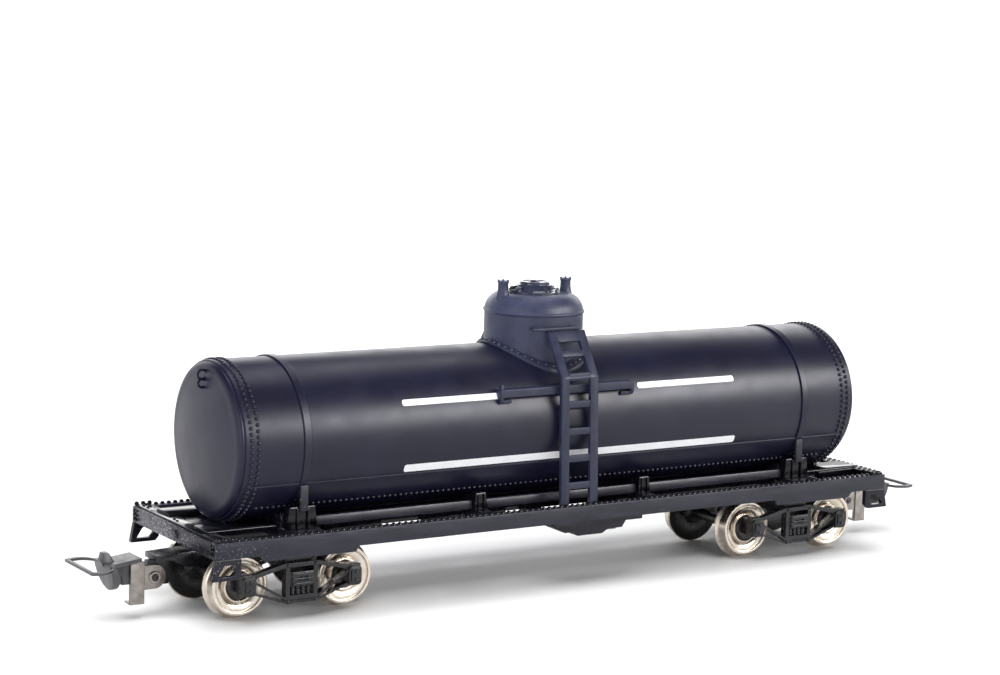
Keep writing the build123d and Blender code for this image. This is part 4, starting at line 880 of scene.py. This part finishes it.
# Floor and walls: a white paper sweep under a studio that darkens from the horizon to the ceiling.
stage = {
    "floorSize": 60.0, "paper": "#f4f4f4", "paperRough": 0.85, "horizon": "#ffffff", "ceiling": "#3c3f48",
    "fade": (0.12, 0.45), "strength": 1.05,
}
startClean()
bpy.ops.mesh.primitive_plane_add(size=stage["floorSize"], location=(0, 0, 0))
floor = bpy.context.object
floor.name = "floor"
floor.data.materials.append(plainFinish("whitePaperSweep", stage["paper"], stage["paperRough"]))

world = bpy.data.worlds.new("paleStudio")
bpy.context.scene.world = world
world.use_nodes = True
tree = world.node_tree
backing = tree.nodes["Background"]
backing.inputs["Strength"].default_value = stage["strength"]
direction = addNode(tree, "ShaderNodeTexCoord")
apart = addNode(tree, "ShaderNodeSeparateXYZ", None, {"Vector": direction.outputs["Generated"]})
rise = addNode(
    tree, "ShaderNodeMapRange",
    {"From Min": stage["fade"][0], "From Max": stage["fade"][1], "interpolation_type": "SMOOTHSTEP"},
    {"Value": apart.outputs["Z"]},
)
wall = addNode(tree, "ShaderNodeValToRGB", None, {"Fac": rise.outputs["Result"]})
wall.color_ramp.elements[0].color = toLinear(stage["horizon"])
wall.color_ramp.elements[1].color = toLinear(stage["ceiling"])
tree.links.new(wall.outputs["Color"], backing.inputs["Color"])

# The sky lamp whitens the floor and gives no reflection. Four soft boxes show as light in the paint.
skyLamp = {"power": 3.5, "spread": 55, "tilt": (8, -10, 0)}
skyData = bpy.data.lights.new("skyLamp", "SUN")
skyData.energy = skyLamp["power"]
skyData.angle = math.radians(skyLamp["spread"])
sky = bpy.data.objects.new("skyLamp", skyData)
sky.rotation_euler = [math.radians(v) for v in skyLamp["tilt"]]
sky.visible_glossy = False
bpy.context.scene.collection.objects.link(sky)
boxAim = Vector((0, 0, 0.025))
boxes = (  # name, place in metres, size, power, colour, whether it also lights dull faces
    ("frontBox", (0.83, -1.18, 0.66), (1.5, 0.42), 42.0, "#ffffff", False),
    ("topBox", (0.34, 0.3, 1.25), (0.4, 0.9), 3.8, "#ffffff", False),
    ("backBox", (0.6, 1.12, 0.5), (2.4, 0.6), 12.0, "#ffffff", True),
    ("leftBox", (-1.3, -0.35, 0.5), (0.8, 0.8), 5.0, "#fffdf9", True),
)
for boxName, at, size, power, colour, lightsDull in boxes:
    boxData = bpy.data.lights.new(boxName, "AREA")
    boxData.shape = "RECTANGLE"
    boxData.size, boxData.size_y = size
    boxData.energy = power
    boxData.color = toLinear(colour)[:3]
    box = bpy.data.objects.new(boxName, boxData)
    bpy.context.scene.collection.objects.link(box)
    box.location = at
    box.rotation_euler = (boxAim - Vector(at)).to_track_quat("-Z", "Y").to_euler()
    box.visible_diffuse = lightsDull
bpy.context.scene.view_settings.view_transform = "Standard"

# The camera stands where the photograph was taken from: place in mm, turn in degrees.
view = {
    "place": (-251.34, -382.36, 109.04), "turn": (81.862, -1.560, -31.789), "lens": 89.368,
    "sensor": 36.0, "shift": (0.02326, 0.00254), "nearest": 10,
}
cameraData = bpy.data.cameras.new("photoCamera")
cameraData.sensor_width = view["sensor"]
cameraData.sensor_fit = "HORIZONTAL"
cameraData.lens = view["lens"]
cameraData.shift_x, cameraData.shift_y = view["shift"]
cameraData.clip_start = view["nearest"] * mm
camera = bpy.data.objects.new("photoCamera", cameraData)
bpy.context.scene.collection.objects.link(camera)
camera.location = [v * mm for v in view["place"]]
camera.rotation_euler = [math.radians(v) for v in view["turn"]]
bpy.context.scene.camera = camera
print("stage made")
